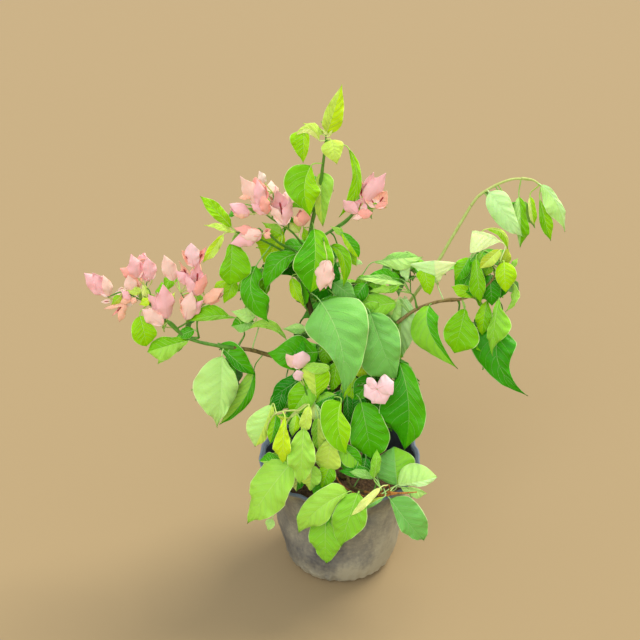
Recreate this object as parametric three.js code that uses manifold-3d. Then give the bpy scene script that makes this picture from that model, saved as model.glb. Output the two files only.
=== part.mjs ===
// A young bougainvillea bush in its black film nursery bag.
// Millimetres, +Z up. The origin is the middle of the bag's flat underside, and the bush is seen from -Y.

import * as THREE from "three";
import { mergeVertices } from "three/addons/utils/BufferGeometryUtils.js";
import Module from "manifold-3d";

// Bag and soil
const BAG_HEIGHT = 140;
const RIM_RADIUS = 86;
const BODY_RADIUS = 70;
const FOOT_RADIUS = 55;
const FILM = 2.2;
const SOIL_LEVEL = 112;
const SOIL_DOME = 2.5;
const SOIL_CLEARANCE = 1.2; // between the film and the soil
const BAG_SEGMENTS = 28;
const SLOUCH = 0.018; // how far the film strays from a circle, as a share of its radius

// Limbs
const STEM_FOOT_RADIUS = 4.6;
const STEM_TIP_RADIUS = 1.2;
const ROOT_FLARE = 3.4;
const FLARE_HEIGHT = 9;
const BOUGH_RADIUS = 3;
const SHOOT_RADIUS = 2.3;
const TWIG_RADIUS = 1.1;
const LIMB_SIDES = 7;
const LIMB_STEP = 18;

// Foliage
const GAP = 0.4; // room left between neighbours
const UNEVEN = 0.2; // how far a mass swells and dips, as a share of its reach
const WAVES = 5;
const FINE_REACH = 75; // masses that reach further than this have finer facets

const wasm = await Module();
wasm.setup();

const bush = new THREE.Group();

// The colour, roughness and name of each finish
const FINISH = {
  film: { color: 0x55504a, roughness: 0.6 },
  soil: { color: 0x3a2a1d, roughness: 0.95 },
  bark: { color: 0x5b4a2c, roughness: 0.8 },
  youngStem: { color: 0x8fae3a, roughness: 0.6 },
  leaf: { color: 0x4c9a1e, roughness: 0.5 },
  youngLeaf: { color: 0x9bd23a, roughness: 0.5 },
  bract: { color: 0xf4a9a8, roughness: 0.7 },
};

// A closed geometry as a solid that can be cut and joined.
function solidOf(geometry) {
  const bare = geometry.clone();
  bare.deleteAttribute("normal");
  bare.deleteAttribute("uv");
  const merged = mergeVertices(bare, 1e-3);
  return new wasm.Manifold(
    new wasm.Mesh({
      numProp: 3,
      vertProperties: new Float32Array(merged.attributes.position.array),
      triVerts: new Uint32Array(merged.index.array),
    }),
  );
}

// A solid as a geometry again.
function geometryOf(solid) {
  const { vertProperties, triVerts } = solid.getMesh();
  return new THREE.BufferGeometry()
    .setAttribute("position", new THREE.BufferAttribute(vertProperties, 3))
    .setIndex(new THREE.BufferAttribute(triVerts, 1));
}

function add(name, solid, finish) {
  const geometry = geometryOf(solid);
  geometry.computeVertexNormals();
  const mesh = new THREE.Mesh(geometry, new THREE.MeshStandardMaterial(FINISH[finish]));
  mesh.name = name;
  bush.add(mesh);
}

// A random number maker that gives the same numbers each time for one seed.
function dice(seed) {
  let state = seed >>> 0;
  return () => {
    state = (Math.imul(state, 1664525) + 1013904223) >>> 0;
    return state / 2 ** 32;
  };
}

// The bag: a turned wall that flares to the rim, then slouches out of round

// Radius and height along the outside of the film, from the underside's edge to the rim.
const BAG_SIDE = [
  [FOOT_RADIUS, 0],
  [FOOT_RADIUS + 8, 4],
  [BODY_RADIUS - 3, 16],
  [BODY_RADIUS - 1, 36],
  [BODY_RADIUS, 62],
  [BODY_RADIUS + 2, 90],
  [BODY_RADIUS + 5, SOIL_LEVEL],
  [RIM_RADIUS - 7, 126],
  [RIM_RADIUS - 2, 135],
  [RIM_RADIUS, BAG_HEIGHT],
];

function sideRadius(height) {
  const above = BAG_SIDE.findIndex(([, z]) => z >= height);
  if (above <= 0) return BAG_SIDE[0][0];
  const [r0, z0] = BAG_SIDE[above - 1];
  const [r1, z1] = BAG_SIDE[above];
  return r0 + ((r1 - r0) * (height - z0)) / (z1 - z0);
}

// Turns a profile of [radius, height] points round +Z and lets it slouch.
function turned(profile) {
  const points = profile.map(([r, z]) => new THREE.Vector2(r, z));
  const geometry = new THREE.LatheGeometry(points, BAG_SEGMENTS).rotateX(Math.PI / 2);
  const place = geometry.attributes.position;
  for (let i = 0; i < place.count; i++) {
    const angle = Math.atan2(place.getY(i), place.getX(i));
    const lift = place.getZ(i) / BAG_HEIGHT;
    const stray = 0.6 * Math.sin(3 * angle + 0.8) + 0.4 * Math.sin(5 * angle + 2.1);
    const grow = 1 + SLOUCH * lift * stray;
    place.setXY(i, place.getX(i) * grow, place.getY(i) * grow);
  }
  return solidOf(geometry);
}

// The same wall on the inside of the film, from the rim down.
const inside = BAG_SIDE.slice(1).map(([r, z]) => [r - FILM, z === BAG_HEIGHT ? z : z + FILM / 2]);
const floorEdge = [FOOT_RADIUS - FILM, FILM];
add("nursery_bag", turned([[0, 0], ...BAG_SIDE, ...inside.reverse(), floorEdge, [0, FILM]]), "film");

// The soil fills the bag to the soil level and is a little higher in the middle.
const soilInset = FILM + SOIL_CLEARANCE;
const soilFloor = FILM + GAP;
const soilSide = BAG_SIDE.slice(1).filter(([, z]) => z < SOIL_LEVEL);
add(
  "potting_soil",
  turned([
    [0, soilFloor],
    [FOOT_RADIUS - soilInset, soilFloor],
    ...soilSide.map(([r, z]) => [r - soilInset, z + FILM]),
    [sideRadius(SOIL_LEVEL) - soilInset, SOIL_LEVEL - SOIL_DOME],
    [BODY_RADIUS / 2, SOIL_LEVEL - SOIL_DOME / 4],
    [0, SOIL_LEVEL],
  ]),
  "soil",
);

// What the foliage outside the bag is cut back from: the whole bag, filled in and a little larger.
const bagEnvelope = turned([
  [0, -GAP],
  ...BAG_SIDE.map(([r, z]) => [r + GAP, z === BAG_HEIGHT ? z + GAP : z]),
  [0, BAG_HEIGHT + GAP],
]);

// Limbs: a tapering cylinder bent along a smooth curve

function limb({ route, foot, tip, flare = 0, level = null }, grow = 0) {
  const curve = new THREE.CatmullRomCurve3(route.map((p) => new THREE.Vector3(...p)));
  const length = curve.getLength();
  const steps = Math.max(3, Math.round(length / LIMB_STEP));
  const frames = curve.computeFrenetFrames(steps);
  const geometry = new THREE.CylinderGeometry(1, 1, 1, LIMB_SIDES, steps);
  const place = geometry.attributes.position;
  for (let i = 0; i < place.count; i++) {
    const along = place.getY(i) + 0.5;
    const ring = Math.round(along * steps);
    const swell = flare * Math.exp((-along * length) / FLARE_HEIGHT);
    const radius = foot + (tip - foot) * along + swell + grow;
    const spot = curve.getPointAt(along);
    spot.addScaledVector(frames.normals[ring], place.getX(i) * radius);
    spot.addScaledVector(frames.binormals[ring], -place.getZ(i) * radius);
    if (level !== null && ring === 0) spot.z = level;
    place.setXYZ(i, spot.x, spot.y, spot.z);
  }
  return solidOf(geometry);
}

const STEM = {
  route: [
    [6, -2, SOIL_LEVEL + GAP], [5, -1, 128], [2, 0, 168], [-1, 0, 212], [-7, 0, 240], [-20, 0, 285],
    [-33, 0, 326], [-37, 2, 350], [-35, 4, 390], [-31, 5, 422], [-25, 5, 448], [-22, 5, 470], [-17, 5, 512],
  ],
  foot: STEM_FOOT_RADIUS,
  tip: STEM_TIP_RADIUS,
  flare: ROOT_FLARE,
  level: SOIL_LEVEL + GAP,
};

// Each bough: where it runs, how thick it is, and the mass that it ends in.
const BOUGHS = {
  left_bough: {
    route: [[-13, 0, 252], [-48, -3, 262], [-79, -5, 274], [-97, -10, 283], [-129, -15, 291], [-160, -15, 301], [-183, -15, 324]],
    foot: BOUGH_RADIUS,
    tip: 1.5,
    ends: "bracts_left",
    finish: "bark",
  },
  right_bough: {
    route: [[-8, 0, 246], [6, 5, 268], [26, 8, 286], [56, 11, 302], [76, 15, 316], [99, 15, 326], [122, 10, 332], [140, 4, 344]],
    foot: BOUGH_RADIUS,
    tip: 1.6,
    ends: "foliage_right",
    finish: "bark",
  },
  arching_bough_rise: {
    route: [[2, 0, 172], [8, 14, 206], [32, 38, 245], [66, 62, 285], [101, 80, 332], [118, 90, 360], [138, 98, 396]],
    foot: SHOOT_RADIUS,
    tip: 1.6,
    ends: null,
    finish: "youngStem",
  },
  arching_bough_sweep: {
    route: [[138.4, 98, 396.8], [147, 100, 408], [164, 100, 420], [182, 100, 427], [200, 100, 426]],
    foot: 1.6,
    tip: TWIG_RADIUS,
    ends: "foliage_arch_tip",
    finish: "youngStem",
  },
  front_shoot: {
    route: [[0, 0, 208], [-8, -16, 226], [-27, -40, 242], [-46, -60, 241], [-56, -72, 236], [-62, -80, 226]],
    foot: 1.9,
    tip: TWIG_RADIUS,
    ends: "foliage_front_left",
    finish: "youngStem",
  },
  low_shoot: {
    route: [[5, -3, 120], [7, -20, 125], [12, -45, 129], [40, -80, 147], [56, -88, 155]],
    foot: 1.9,
    tip: TWIG_RADIUS,
    ends: "foliage_front_right",
    finish: "bark",
  },
  upper_left_shoot: {
    route: [[-36, 4, 382], [-50, 2, 394], [-64, -2, 404], [-76, -5, 418]],
    foot: 1.5,
    tip: TWIG_RADIUS,
    ends: "bracts_upper_left",
    finish: "youngStem",
  },
  upper_right_shoot: {
    route: [[-33, 5, 400], [-18, 8, 408], [2, 11, 422], [16, 12, 436]],
    foot: 1.4,
    tip: TWIG_RADIUS,
    ends: "bracts_upper_right",
    finish: "youngStem",
  },
};

// Foliage: uneven rounded masses, each with its own size, lean and swell

// lean turns a mass in the plane of X and Z, in degrees, so that its long way follows its bough.
const MASSES = {
  foliage_top: { centre: [-16, 4, 511], reach: [27, 22, 57], lean: -6, seed: 3, finish: "youngLeaf" },
  foliage_leader: { centre: [-20, 4, 450], reach: [33, 26, 30], lean: 10, seed: 8, finish: "leaf" },
  bracts_upper_left: { centre: [-92, -4, 431], reach: [50, 26, 38], lean: -14, seed: 12, finish: "bract" },
  bracts_upper_right: { centre: [26, 12, 447], reach: [25, 18, 28], lean: 25, seed: 17, finish: "bract" },
  foliage_upper: { centre: [-48, -4, 362], reach: [76, 46, 46], lean: -8, seed: 21, finish: "leaf" },
  bracts_left: { centre: [-188, -14, 352], reach: [74, 26, 38], lean: -6, seed: 26, finish: "bract" },
  foliage_left: { centre: [-142, -24, 262], reach: [60, 32, 66], lean: 24, seed: 31, finish: "leaf" },
  foliage_middle_left: { centre: [-46, -24, 258], reach: [44, 44, 70], lean: 0, seed: 36, finish: "leaf" },
  foliage_middle_right: { centre: [42, -16, 256], reach: [48, 46, 80], lean: 8, seed: 41, finish: "leaf" },
  foliage_right_back: { centre: [78, 32, 352], reach: [46, 26, 30], lean: 12, seed: 46, finish: "leaf" },
  foliage_right: { centre: [140, 0, 324], reach: [56, 30, 92], lean: -24, seed: 51, finish: "leaf" },
  foliage_arch_tip: { centre: [200, 94, 388], reach: [44, 22, 36], lean: -18, seed: 56, finish: "leaf" },
  foliage_front_left: { centre: [-70, -84, 176], reach: [32, 24, 64], lean: 0, seed: 61, finish: "youngLeaf" },
  foliage_front: { centre: [-8, -98, 118], reach: [42, 20, 56], lean: 14, seed: 66, finish: "leaf" },
  foliage_front_right: { centre: [66, -84, 142], reach: [42, 26, 48], lean: 20, seed: 71, finish: "leaf" },
  foliage_back_upper: { centre: [2, 50, 290], reach: [58, 32, 44], lean: 6, seed: 76, finish: "leaf" },
  foliage_back_lower: { centre: [-2, 76, 204], reach: [60, 30, 50], lean: -5, seed: 81, finish: "leaf" },
  foliage_back_right: { centre: [52, 62, 258], reach: [26, 24, 42], lean: 10, seed: 91, finish: "leaf" },
  foliage_back_left: { centre: [-80, 40, 340], reach: [28, 26, 40], lean: 8, seed: 86, finish: "leaf" },
};

function mass({ centre, reach, lean, seed }, grow = 0) {
  const roll = dice(seed);
  const waves = Array.from({ length: WAVES }, () => ({
    way: new THREE.Vector3(roll() - 0.5, roll() - 0.5, roll() - 0.5).normalize().multiplyScalar(2 + 3 * roll()),
    shift: roll() * Math.PI * 2,
  }));
  const detail = Math.max(...reach) > FINE_REACH ? 3 : 2;
  const geometry = new THREE.IcosahedronGeometry(1, detail);
  const place = geometry.attributes.position;
  const way = new THREE.Vector3();
  for (let i = 0; i < place.count; i++) {
    way.fromBufferAttribute(place, i);
    const swell = waves.reduce((sum, wave) => sum + Math.sin(way.dot(wave.way) + wave.shift), 0) / WAVES;
    const out = 1 + 2 * UNEVEN * swell;
    place.setXYZ(i, way.x * (reach[0] * out + grow), way.y * (reach[1] * out + grow), way.z * (reach[2] * out + grow));
  }
  geometry.rotateY(THREE.MathUtils.degToRad(lean)).translate(...centre);
  return solidOf(geometry);
}

// The largest of the bodies that a cut leaves, or the one nearest to a point.
function keepOne(solid, nearest = null) {
  const bodies = solid.decompose();
  const score = (body) => {
    if (!nearest) return -body.volume();
    const { min, max } = body.boundingBox();
    const off = nearest.map((v, axis) => Math.max(min[axis] - v, 0, v - max[axis]));
    return Math.hypot(...off);
  };
  return bodies.reduce((best, body) => (score(body) < score(best) ? body : best));
}

add("main_stem", limb(STEM), "bark");

const grownStem = limb(STEM, GAP);
const grownLimbs = { main_stem: grownStem };
for (const [name, bough] of Object.entries(BOUGHS)) {
  let solid = limb(bough).subtract(grownStem);
  if (bough.ends) solid = solid.subtract(mass(MASSES[bough.ends], GAP));
  add(name, keepOne(solid, bough.route[1]), bough.finish);
  grownLimbs[name] = limb(bough, GAP);
}

const cutters = [bagEnvelope];
for (const [name, shape] of Object.entries(MASSES)) {
  let solid = mass(shape);
  for (const cutter of cutters) solid = solid.subtract(cutter);
  for (const [limbName, grown] of Object.entries(grownLimbs)) {
    const endsHere = BOUGHS[limbName]?.ends === name;
    if (!endsHere) solid = solid.subtract(grown);
  }
  add(name, keepOne(solid), shape.finish);
  cutters.push(mass(shape, GAP));
}

export default bush;
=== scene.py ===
# %% [markdown]
# # A young bougainvillea in its nursery bag
# A lesson in growing one plant from its limbs outward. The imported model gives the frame: where the
# bag, the stem, the boughs and the masses of foliage stand. Each of those plain solids is then
# replaced by what is really there: creased film, ridged bark, leaves with ribs and wavy edges, and
# papery bracts in threes. Every size below is in millimetres until a mesh is made.

# %% Load the frame
import math

import bpy
import numpy as np
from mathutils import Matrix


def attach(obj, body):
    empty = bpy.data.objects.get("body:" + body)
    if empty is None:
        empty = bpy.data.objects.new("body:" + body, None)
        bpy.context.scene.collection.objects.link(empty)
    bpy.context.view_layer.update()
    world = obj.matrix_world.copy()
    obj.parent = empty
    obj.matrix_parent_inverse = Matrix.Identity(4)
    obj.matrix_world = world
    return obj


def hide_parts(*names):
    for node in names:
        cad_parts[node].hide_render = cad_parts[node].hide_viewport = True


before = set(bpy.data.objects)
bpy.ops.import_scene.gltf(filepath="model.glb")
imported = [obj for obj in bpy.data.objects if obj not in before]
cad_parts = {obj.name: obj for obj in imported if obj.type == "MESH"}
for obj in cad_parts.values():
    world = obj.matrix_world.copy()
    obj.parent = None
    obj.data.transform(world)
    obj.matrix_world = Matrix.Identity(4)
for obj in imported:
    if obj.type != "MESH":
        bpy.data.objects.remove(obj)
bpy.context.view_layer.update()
MM = 0.001
print("frame nodes:", len(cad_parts))

# %% [markdown]
# ## The camera
# The photograph looks down on the bush at about 31 degrees from a little over a metre, through a
# short telephoto lens. A pinhole camera is known by its eye, its tilt and its focal length, so a
# point of the picture and one depth are enough to find a point in space. That is how each leaf that
# the picture shows gets its place: the pixel says where it is seen, and the shoot says how deep.

# %% Camera and the way from a pixel to a point
PICTURE = 640
FOCAL_PX = 1250.0
SENSOR = 36.0
TILT = math.radians(31.0)
EYE = np.array((-23.0, -1110.0, 980.0))
AHEAD = np.array((0.0, math.cos(TILT), -math.sin(TILT)))
UPWARD = np.array((0.0, math.sin(TILT), math.cos(TILT)))
ACROSS = np.array((1.0, 0.0, 0.0))

lens = bpy.data.cameras.new("camera")
lens.sensor_width = SENSOR
lens.lens = FOCAL_PX / PICTURE * SENSOR
camera = bpy.data.objects.new("camera", lens)
camera.location = EYE * MM
camera.rotation_euler = (math.pi / 2 - TILT, 0.0, 0.0)
bpy.context.scene.collection.objects.link(camera)
bpy.context.scene.camera = camera


def at(px, py, y):
    """The point, in millimetres, that a pixel of the picture shows at the depth y."""
    ray = AHEAD + ACROSS * (px - PICTURE / 2) / FOCAL_PX - UPWARD * (py - PICTURE / 2) / FOCAL_PX
    return EYE + ray * (y - EYE[1]) / ray[1]


def seen_at(points):
    """Pixels and distances of points: the way back from space to the picture."""
    off = np.asarray(points, float) - EYE
    far = off @ AHEAD
    px = PICTURE / 2 + FOCAL_PX * (off @ ACROSS) / far
    py = PICTURE / 2 - FOCAL_PX * (off @ UPWARD) / far
    return px, py, far


stem_pixel = 1 / np.ptp(seen_at([(0, 0, 300), (1, 0, 300)])[0])
print("lens", round(lens.lens, 1), "mm; one pixel at the stem is", round(stem_pixel, 2), "mm")

# %% [markdown]
# ## Colour and nodes
# A colour is given as an sRGB hex value, and Blender's shaders work in linear light, so one
# function turns the first into the second. One more function adds a node with its settings and its
# links, whatever kind of node it is.

# %% Colour and node helpers
def linear(code):
    """An sRGB hex value such as 4fa51a as linear red, green, blue and alpha."""
    parts = [int(code[i : i + 2], 16) / 255 for i in (0, 2, 4)]
    return [c / 12.92 if c <= 0.04045 else ((c + 0.055) / 1.055) ** 2.4 for c in parts] + [1.0]


def add_node(tree, kind, inputs=None, **settings):
    """Adds a node; an input is a plain value or the output socket of another node."""
    made = tree.nodes.new(kind)
    for key, value in settings.items():
        setattr(made, key, value)
    for key, value in (inputs or {}).items():
        if isinstance(value, bpy.types.NodeSocket):
            tree.links.new(value, made.inputs[key])
        else:
            made.inputs[key].default_value = value
    return made


def new_finish(name):
    """A bare material, its node tree and the object's own coordinates in metres."""
    material = bpy.data.materials.new(name)
    material.use_nodes = True
    tree = material.node_tree
    tree.nodes.clear()
    place = add_node(tree, "ShaderNodeTexCoord").outputs["Object"]
    return material, tree, place


def close_finish(tree, **inputs):
    """Ends a tree with one Principled shader and the material output."""
    named = {key.replace("_", " "): value for key, value in inputs.items()}
    shader = add_node(tree, "ShaderNodeBsdfPrincipled", named)
    add_node(tree, "ShaderNodeOutputMaterial", {"Surface": shader.outputs["BSDF"]})


def per_mm(size):
    """The scale of a pattern whose repeat is this many millimetres."""
    return 1.0 / (size * MM)


# %% [markdown]
# ## Leaf
# A bougainvillea leaf is soft and thin, with a faint wax that shines where the sky is behind it. Its
# tone says its age and its light: old leaves are a deep green, young ones lime to yellow, and those
# with light behind them pale. Some tones are light painted into the colour: the darkest green is
# painted shade, and a green, a bluish and a near-white one are the sky's sheen on the wax, painted.
# A leaf has one tone, or one for each side of its midrib; where the two differ, that is partly the
# leaf's own tone and partly painted light and shade from how light falls on each half. The tones are
# a family of plain colours that differ in nothing else. A fine bump of cells, about 1.4 mm apart,
# breaks the shine, and its roughness drifts over some 9 mm. A little scattering under the surface
# lets light through. Veins hold less green than the blade and its rim less again, so each tone has
# a paler vein and a still paler rim. The underside has no wax: pale, grey and dull.

# %% Leaf tones
LEAF_TONES = {
    # Painted shade: the darkest green stands for leaves in the shade inside the crown.
    "dim": "248a02",
    "deep": "3a9e02",
    "mid": "50b002",
    # Painted reflection: this green has the sky's sheen on the wax painted into it.
    "sheen": "7cc45a",
    "bright": "7cc604",
    "fresh": "8cd034",
    "lime": "98d804",
    "acid": "a8de04",
    "spring": "a6de4e",
    "yellow": "c8ee1e",
    "straw": "ccec5e",
    "butter": "eafa90",
    "olive": "b6cc30",
    "pale": "beee84",
    # Painted reflection: a bluish green that paints the sky's sheen on the wax into the colour.
    "cool": "90cc60",
    "mint": "cefaa6",
    # Painted reflection: near white, the sky's sheen on a leaf's upper face painted into the colour.
    "white": "e6fdb0",
}
CELL = 1.4
DRIFT = 9.0
LEAF_IOR = 1.45
VEIN_CODE = "f0fcc0"
VEIN_SHARE = 0.25
RIM_SHARE = 0.5
UNDER_CODE = "c4dfa4"
UNDER_SHARE = 0.45
# Roughness where the wax is whole and where it has worn: on the blade, its veins and its underside
BLADE_ROUGH = (0.22, 0.5)
VEIN_ROUGH = (0.4, 0.55)
UNDER_ROUGH = (0.6, 0.75)

finishes = {}


def mixed(code, other, share):
    """A colour that is part of one hex value and part of another."""
    return [a + (b - a) * share for a, b in zip(linear(code), linear(other))]


def leaf_finish(name, colour, rough, scatter=0.25):
    """A waxy leaf skin of one colour, with fine cells in its bump and a wandering gloss."""
    finishes[name], tree, place = new_finish("leaf_" + name)
    cells = add_node(tree, "ShaderNodeTexVoronoi", {"Vector": place, "Scale": per_mm(CELL)}, feature="F1")
    drift = add_node(tree, "ShaderNodeTexNoise", {"Vector": place, "Scale": per_mm(DRIFT), "Detail": 3.0})
    puckers = add_node(
        tree,
        "ShaderNodeMath",
        {0: drift.outputs["Fac"], 1: 2.5, 2: cells.outputs["Distance"]},
        operation="MULTIPLY_ADD",
    )
    gloss = add_node(
        tree, "ShaderNodeMapRange", {"Value": drift.outputs["Fac"], "To Min": rough[0], "To Max": rough[1]}
    )
    bump = add_node(
        tree,
        "ShaderNodeBump",
        {"Height": puckers.outputs["Value"], "Strength": 0.45, "Distance": 0.5 * MM},
    )
    close_finish(
        tree,
        Base_Color=colour,
        Roughness=gloss.outputs["Result"],
        Normal=bump.outputs["Normal"],
        IOR=LEAF_IOR,
        Specular_IOR_Level=0.18,
        Subsurface_Weight=scatter,
        Subsurface_Radius=(0.9, 1.0, 0.25),
        Subsurface_Scale=0.6 * MM,
    )


for tone, code in LEAF_TONES.items():
    leaf_finish(tone, linear(code), BLADE_ROUGH)
    leaf_finish("vein_" + tone, mixed(code, VEIN_CODE, VEIN_SHARE), VEIN_ROUGH, 0.0)
    leaf_finish("rim_" + tone, mixed(code, VEIN_CODE, RIM_SHARE), VEIN_ROUGH, 0.0)
    leaf_finish("under_" + tone, mixed(code, UNDER_CODE, UNDER_SHARE), UNDER_ROUGH)
print("leaf tones:", len(LEAF_TONES), "each with its veins, rim and underside")

# %% [markdown]
# ## Bract
# The pink of a bougainvillea is not petals but bracts: leaves turned to coloured paper. They are dry
# and matt, thin enough to glow, and crinkled between their veins. Young ones are the deepest pink,
# and full-blown ones, the tone called petal here, the palest. Most fade towards the foot, down to
# cream. The small true flower is the tube inside, redder than the bract and greenish at its foot.

# %% Bracts and flower tubes
BRACT_TONES = {
    "pink": "ffc4c8",
    "blush": "ffd6c8",
    "petal": "ffd6da",
    "orange": "ffc4a8",
    "shaded": "ffb2a4",
    "cream": "ffe6d8",
    "bract_vein": "f6b0a8",
    "tube": "a83c3c",
    "tube_foot": "b9c964",
}
CRINKLE = 2.2
for tone, code in BRACT_TONES.items():
    finishes[tone], tree, place = new_finish("bract_" + tone)
    crinkle = add_node(
        tree,
        "ShaderNodeTexNoise",
        {"Vector": place, "Scale": per_mm(CRINKLE), "Detail": 4.0, "Roughness": 0.6},
    )
    bump = add_node(
        tree, "ShaderNodeBump", {"Height": crinkle.outputs["Fac"], "Strength": 0.35, "Distance": 0.4 * MM}
    )
    close_finish(
        tree,
        Base_Color=linear(code),
        Roughness=0.72,
        Normal=bump.outputs["Normal"],
        IOR=1.4,
        Subsurface_Weight=0.2,
        Subsurface_Radius=(1.2, 0.5, 0.4),
        Subsurface_Scale=0.5 * MM,
    )
print("bract tones:", len(BRACT_TONES))

# %% [markdown]
# ## Bark and young stem
# The lower stem and the old boughs are woody: grey-brown, ridged lengthwise, dull. Towards the tips
# the skin is still green and smooth. Grain runs with the limb in the mesh itself, so the shader only
# adds what is finer: flecks about 3 mm long on bark, and a light mottle on green stems.

# %% Bark and stem finishes
STEM_TONES = {
    "bark": ("84753e", "574a20", 0.85),
    "bark_dark": ("4c4818", "2f2a0c", 0.8),
    "bark_pale": ("a58e58", "7c673a", 0.8),
    "bark_orange": ("c98a3e", "7c4a20", 0.75),
    "stem": ("5f9a2c", "4a7f1e", 0.5),
    "stem_pale": ("c6d480", "b0c462", 0.5),
}
FLECK = 3.0
for tone, (light, dark, roughness) in STEM_TONES.items():
    finishes[tone], tree, place = new_finish("stem_" + tone)
    stretch = add_node(
        tree, "ShaderNodeMapping", {"Vector": place, "Scale": (1.0, 1.0, 0.35)}, vector_type="POINT"
    )
    fleck = add_node(
        tree,
        "ShaderNodeTexNoise",
        {"Vector": stretch.outputs["Vector"], "Scale": per_mm(FLECK), "Detail": 5.0, "Roughness": 0.65},
    )
    blend = add_node(tree, "ShaderNodeValToRGB", {"Fac": fleck.outputs["Fac"]})
    blend.color_ramp.elements[0].position = 0.36
    blend.color_ramp.elements[0].color = linear(dark)
    blend.color_ramp.elements[1].position = 0.62
    blend.color_ramp.elements[1].color = linear(light)
    bump = add_node(
        tree, "ShaderNodeBump", {"Height": fleck.outputs["Fac"], "Strength": 0.5, "Distance": 0.3 * MM}
    )
    close_finish(
        tree,
        Base_Color=blend.outputs["Color"],
        Roughness=roughness,
        Normal=bump.outputs["Normal"],
        IOR=1.45,
    )
print("stem tones:", len(STEM_TONES))

# %% [markdown]
# ## A piece
# A plant has thousands of faces of a few kinds, and an object for each leaf would be slow and hard to
# keep. So faces are gathered first, each lot with its finish, and then made into one mesh at once.
# Blender reads whole arrays much faster than faces one by one.

# %% Gathering faces into pieces
class Piece:
    """Faces of one kind, gathered in millimetres and made into one object."""

    def __init__(self, name):
        self.name = name
        self.spots = []
        self.quads = []
        self.tones = []
        self.count = 0
        self.finishes = []

    def add(self, spots, quads, tone):
        """Adds points and four-sided faces; tone is one finish name or one for each face."""
        spots = np.asarray(spots, float).reshape(-1, 3)
        quads = np.asarray(quads, int).reshape(-1, 4)
        tones = [tone] * len(quads) if isinstance(tone, str) else list(tone)
        for each in dict.fromkeys(tones):
            if each not in self.finishes:
                self.finishes.append(each)
        self.spots.append(spots)
        self.quads.append(quads + self.count)
        self.tones.append(np.array([self.finishes.index(t) for t in tones], int))
        self.count += len(spots)

    def make(self, slot, replaced):
        """Makes the object, hangs it on the root body, gives it its finishes and hides what it replaces."""
        spots = np.concatenate(self.spots) * MM
        quads = np.concatenate(self.quads)
        tones = np.concatenate(self.tones)
        kept = np.ones(quads.shape, bool)
        kept[:, 3] = quads[:, 2] != quads[:, 3]
        loops = quads[kept]
        sizes = kept.sum(1)
        starts = np.concatenate(([0], np.cumsum(sizes)[:-1]))
        mesh = bpy.data.meshes.new(self.name)
        mesh.vertices.add(len(spots))
        mesh.vertices.foreach_set("co", spots.ravel())
        mesh.loops.add(len(loops))
        mesh.loops.foreach_set("vertex_index", loops)
        mesh.polygons.add(len(quads))
        mesh.polygons.foreach_set("loop_start", starts)
        mesh.polygons.foreach_set("loop_total", sizes)
        mesh.polygons.foreach_set("material_index", tones)
        mesh.polygons.foreach_set("use_smooth", np.full(len(quads), True))
        for tone in self.finishes:
            mesh.materials.append(finishes[tone])
        mesh.update(calc_edges=True)
        mesh.validate()
        made = bpy.data.objects.new(self.name, mesh)
        bpy.context.scene.collection.objects.link(made)
        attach(made, "root")
        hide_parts(*replaced)
        self.triangles = int(sizes.sum() - 2 * len(sizes))


# %% Curves and tubes
# A tube's first ring is turned by this direction, which no limb, stalk or vein starts along
ASIDE = (0.31, -0.87, 0.38)


def unit(v):
    """A vector of length one the same way; works on rows too."""
    v = np.asarray(v, float)
    return v / np.maximum(np.linalg.norm(v, axis=-1, keepdims=True), 1e-9)


def smooth_route(points, step):
    """A Catmull-Rom curve through points, cut into pieces of about this many millimetres."""
    p = np.asarray(points, float)
    p = np.vstack((2 * p[0] - p[1], p, 2 * p[-1] - p[-2]))
    out = []
    for a, b, c, d in zip(p, p[1:], p[2:], p[3:]):
        n = max(2, int(np.linalg.norm(c - b) / step) + 1)
        t = np.linspace(0, 1, n, endpoint=False)[:, None]
        squared, cubed = (2 * a - 5 * b + 4 * c - d) * t**2, (3 * b - a - 3 * c + d) * t**3
        out.append(0.5 * (2 * b + (c - a) * t + squared + cubed))
    return np.vstack((*out, p[-2:-1]))


def ring_quads(rings, sides):
    """Four-sided faces between closed rings of points that follow one another."""
    i, j = np.meshgrid(np.arange(rings - 1), np.arange(sides), indexing="ij")
    k = (j + 1) % sides
    corners = (i * sides + j, i * sides + k, (i + 1) * sides + k, (i + 1) * sides + j)
    return np.stack(corners, -1).reshape(-1, 4)


def tube(piece, route, radii, sides, tone, relief=None):
    """A closed tube along a route. relief adds to each ring's radius: rows are rings, columns sides."""
    route = np.asarray(route, float)
    n = len(route)
    radii = np.broadcast_to(np.asarray(radii, float), (n,))
    ahead = unit(np.gradient(route, axis=0))
    side = np.cross(ahead[0], ASIDE)
    frames = []
    for along in ahead:
        side = unit(side - along * (side @ along))
        frames.append((side, np.cross(along, side)))
    turn = np.linspace(0, 2 * math.pi, sides, endpoint=False)
    reach = radii[:, None] + (0 if relief is None else relief)
    first = np.array([f[0] for f in frames])[:, None] * (np.cos(turn) * reach)[..., None]
    second = np.array([f[1] for f in frames])[:, None] * (np.sin(turn) * reach)[..., None]
    rings = route[:, None] + first + second
    spots = np.vstack((rings.reshape(-1, 3), route[0], route[-1]))
    j = np.arange(sides)
    k = (j + 1) % sides
    foot = np.stack((k, j, np.full(sides, n * sides), np.full(sides, n * sides)), -1)
    last = (n - 1) * sides
    head = np.stack((last + j, last + k, np.full(sides, n * sides + 1), np.full(sides, n * sides + 1)), -1)
    quads = np.vstack((ring_quads(n, sides), foot, head))
    if not isinstance(tone, str):
        tone = [t for t in tone[: n - 1] for _ in range(sides)] + [tone[0]] * sides + [tone[-1]] * sides
    piece.add(spots, quads, tone)


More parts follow.
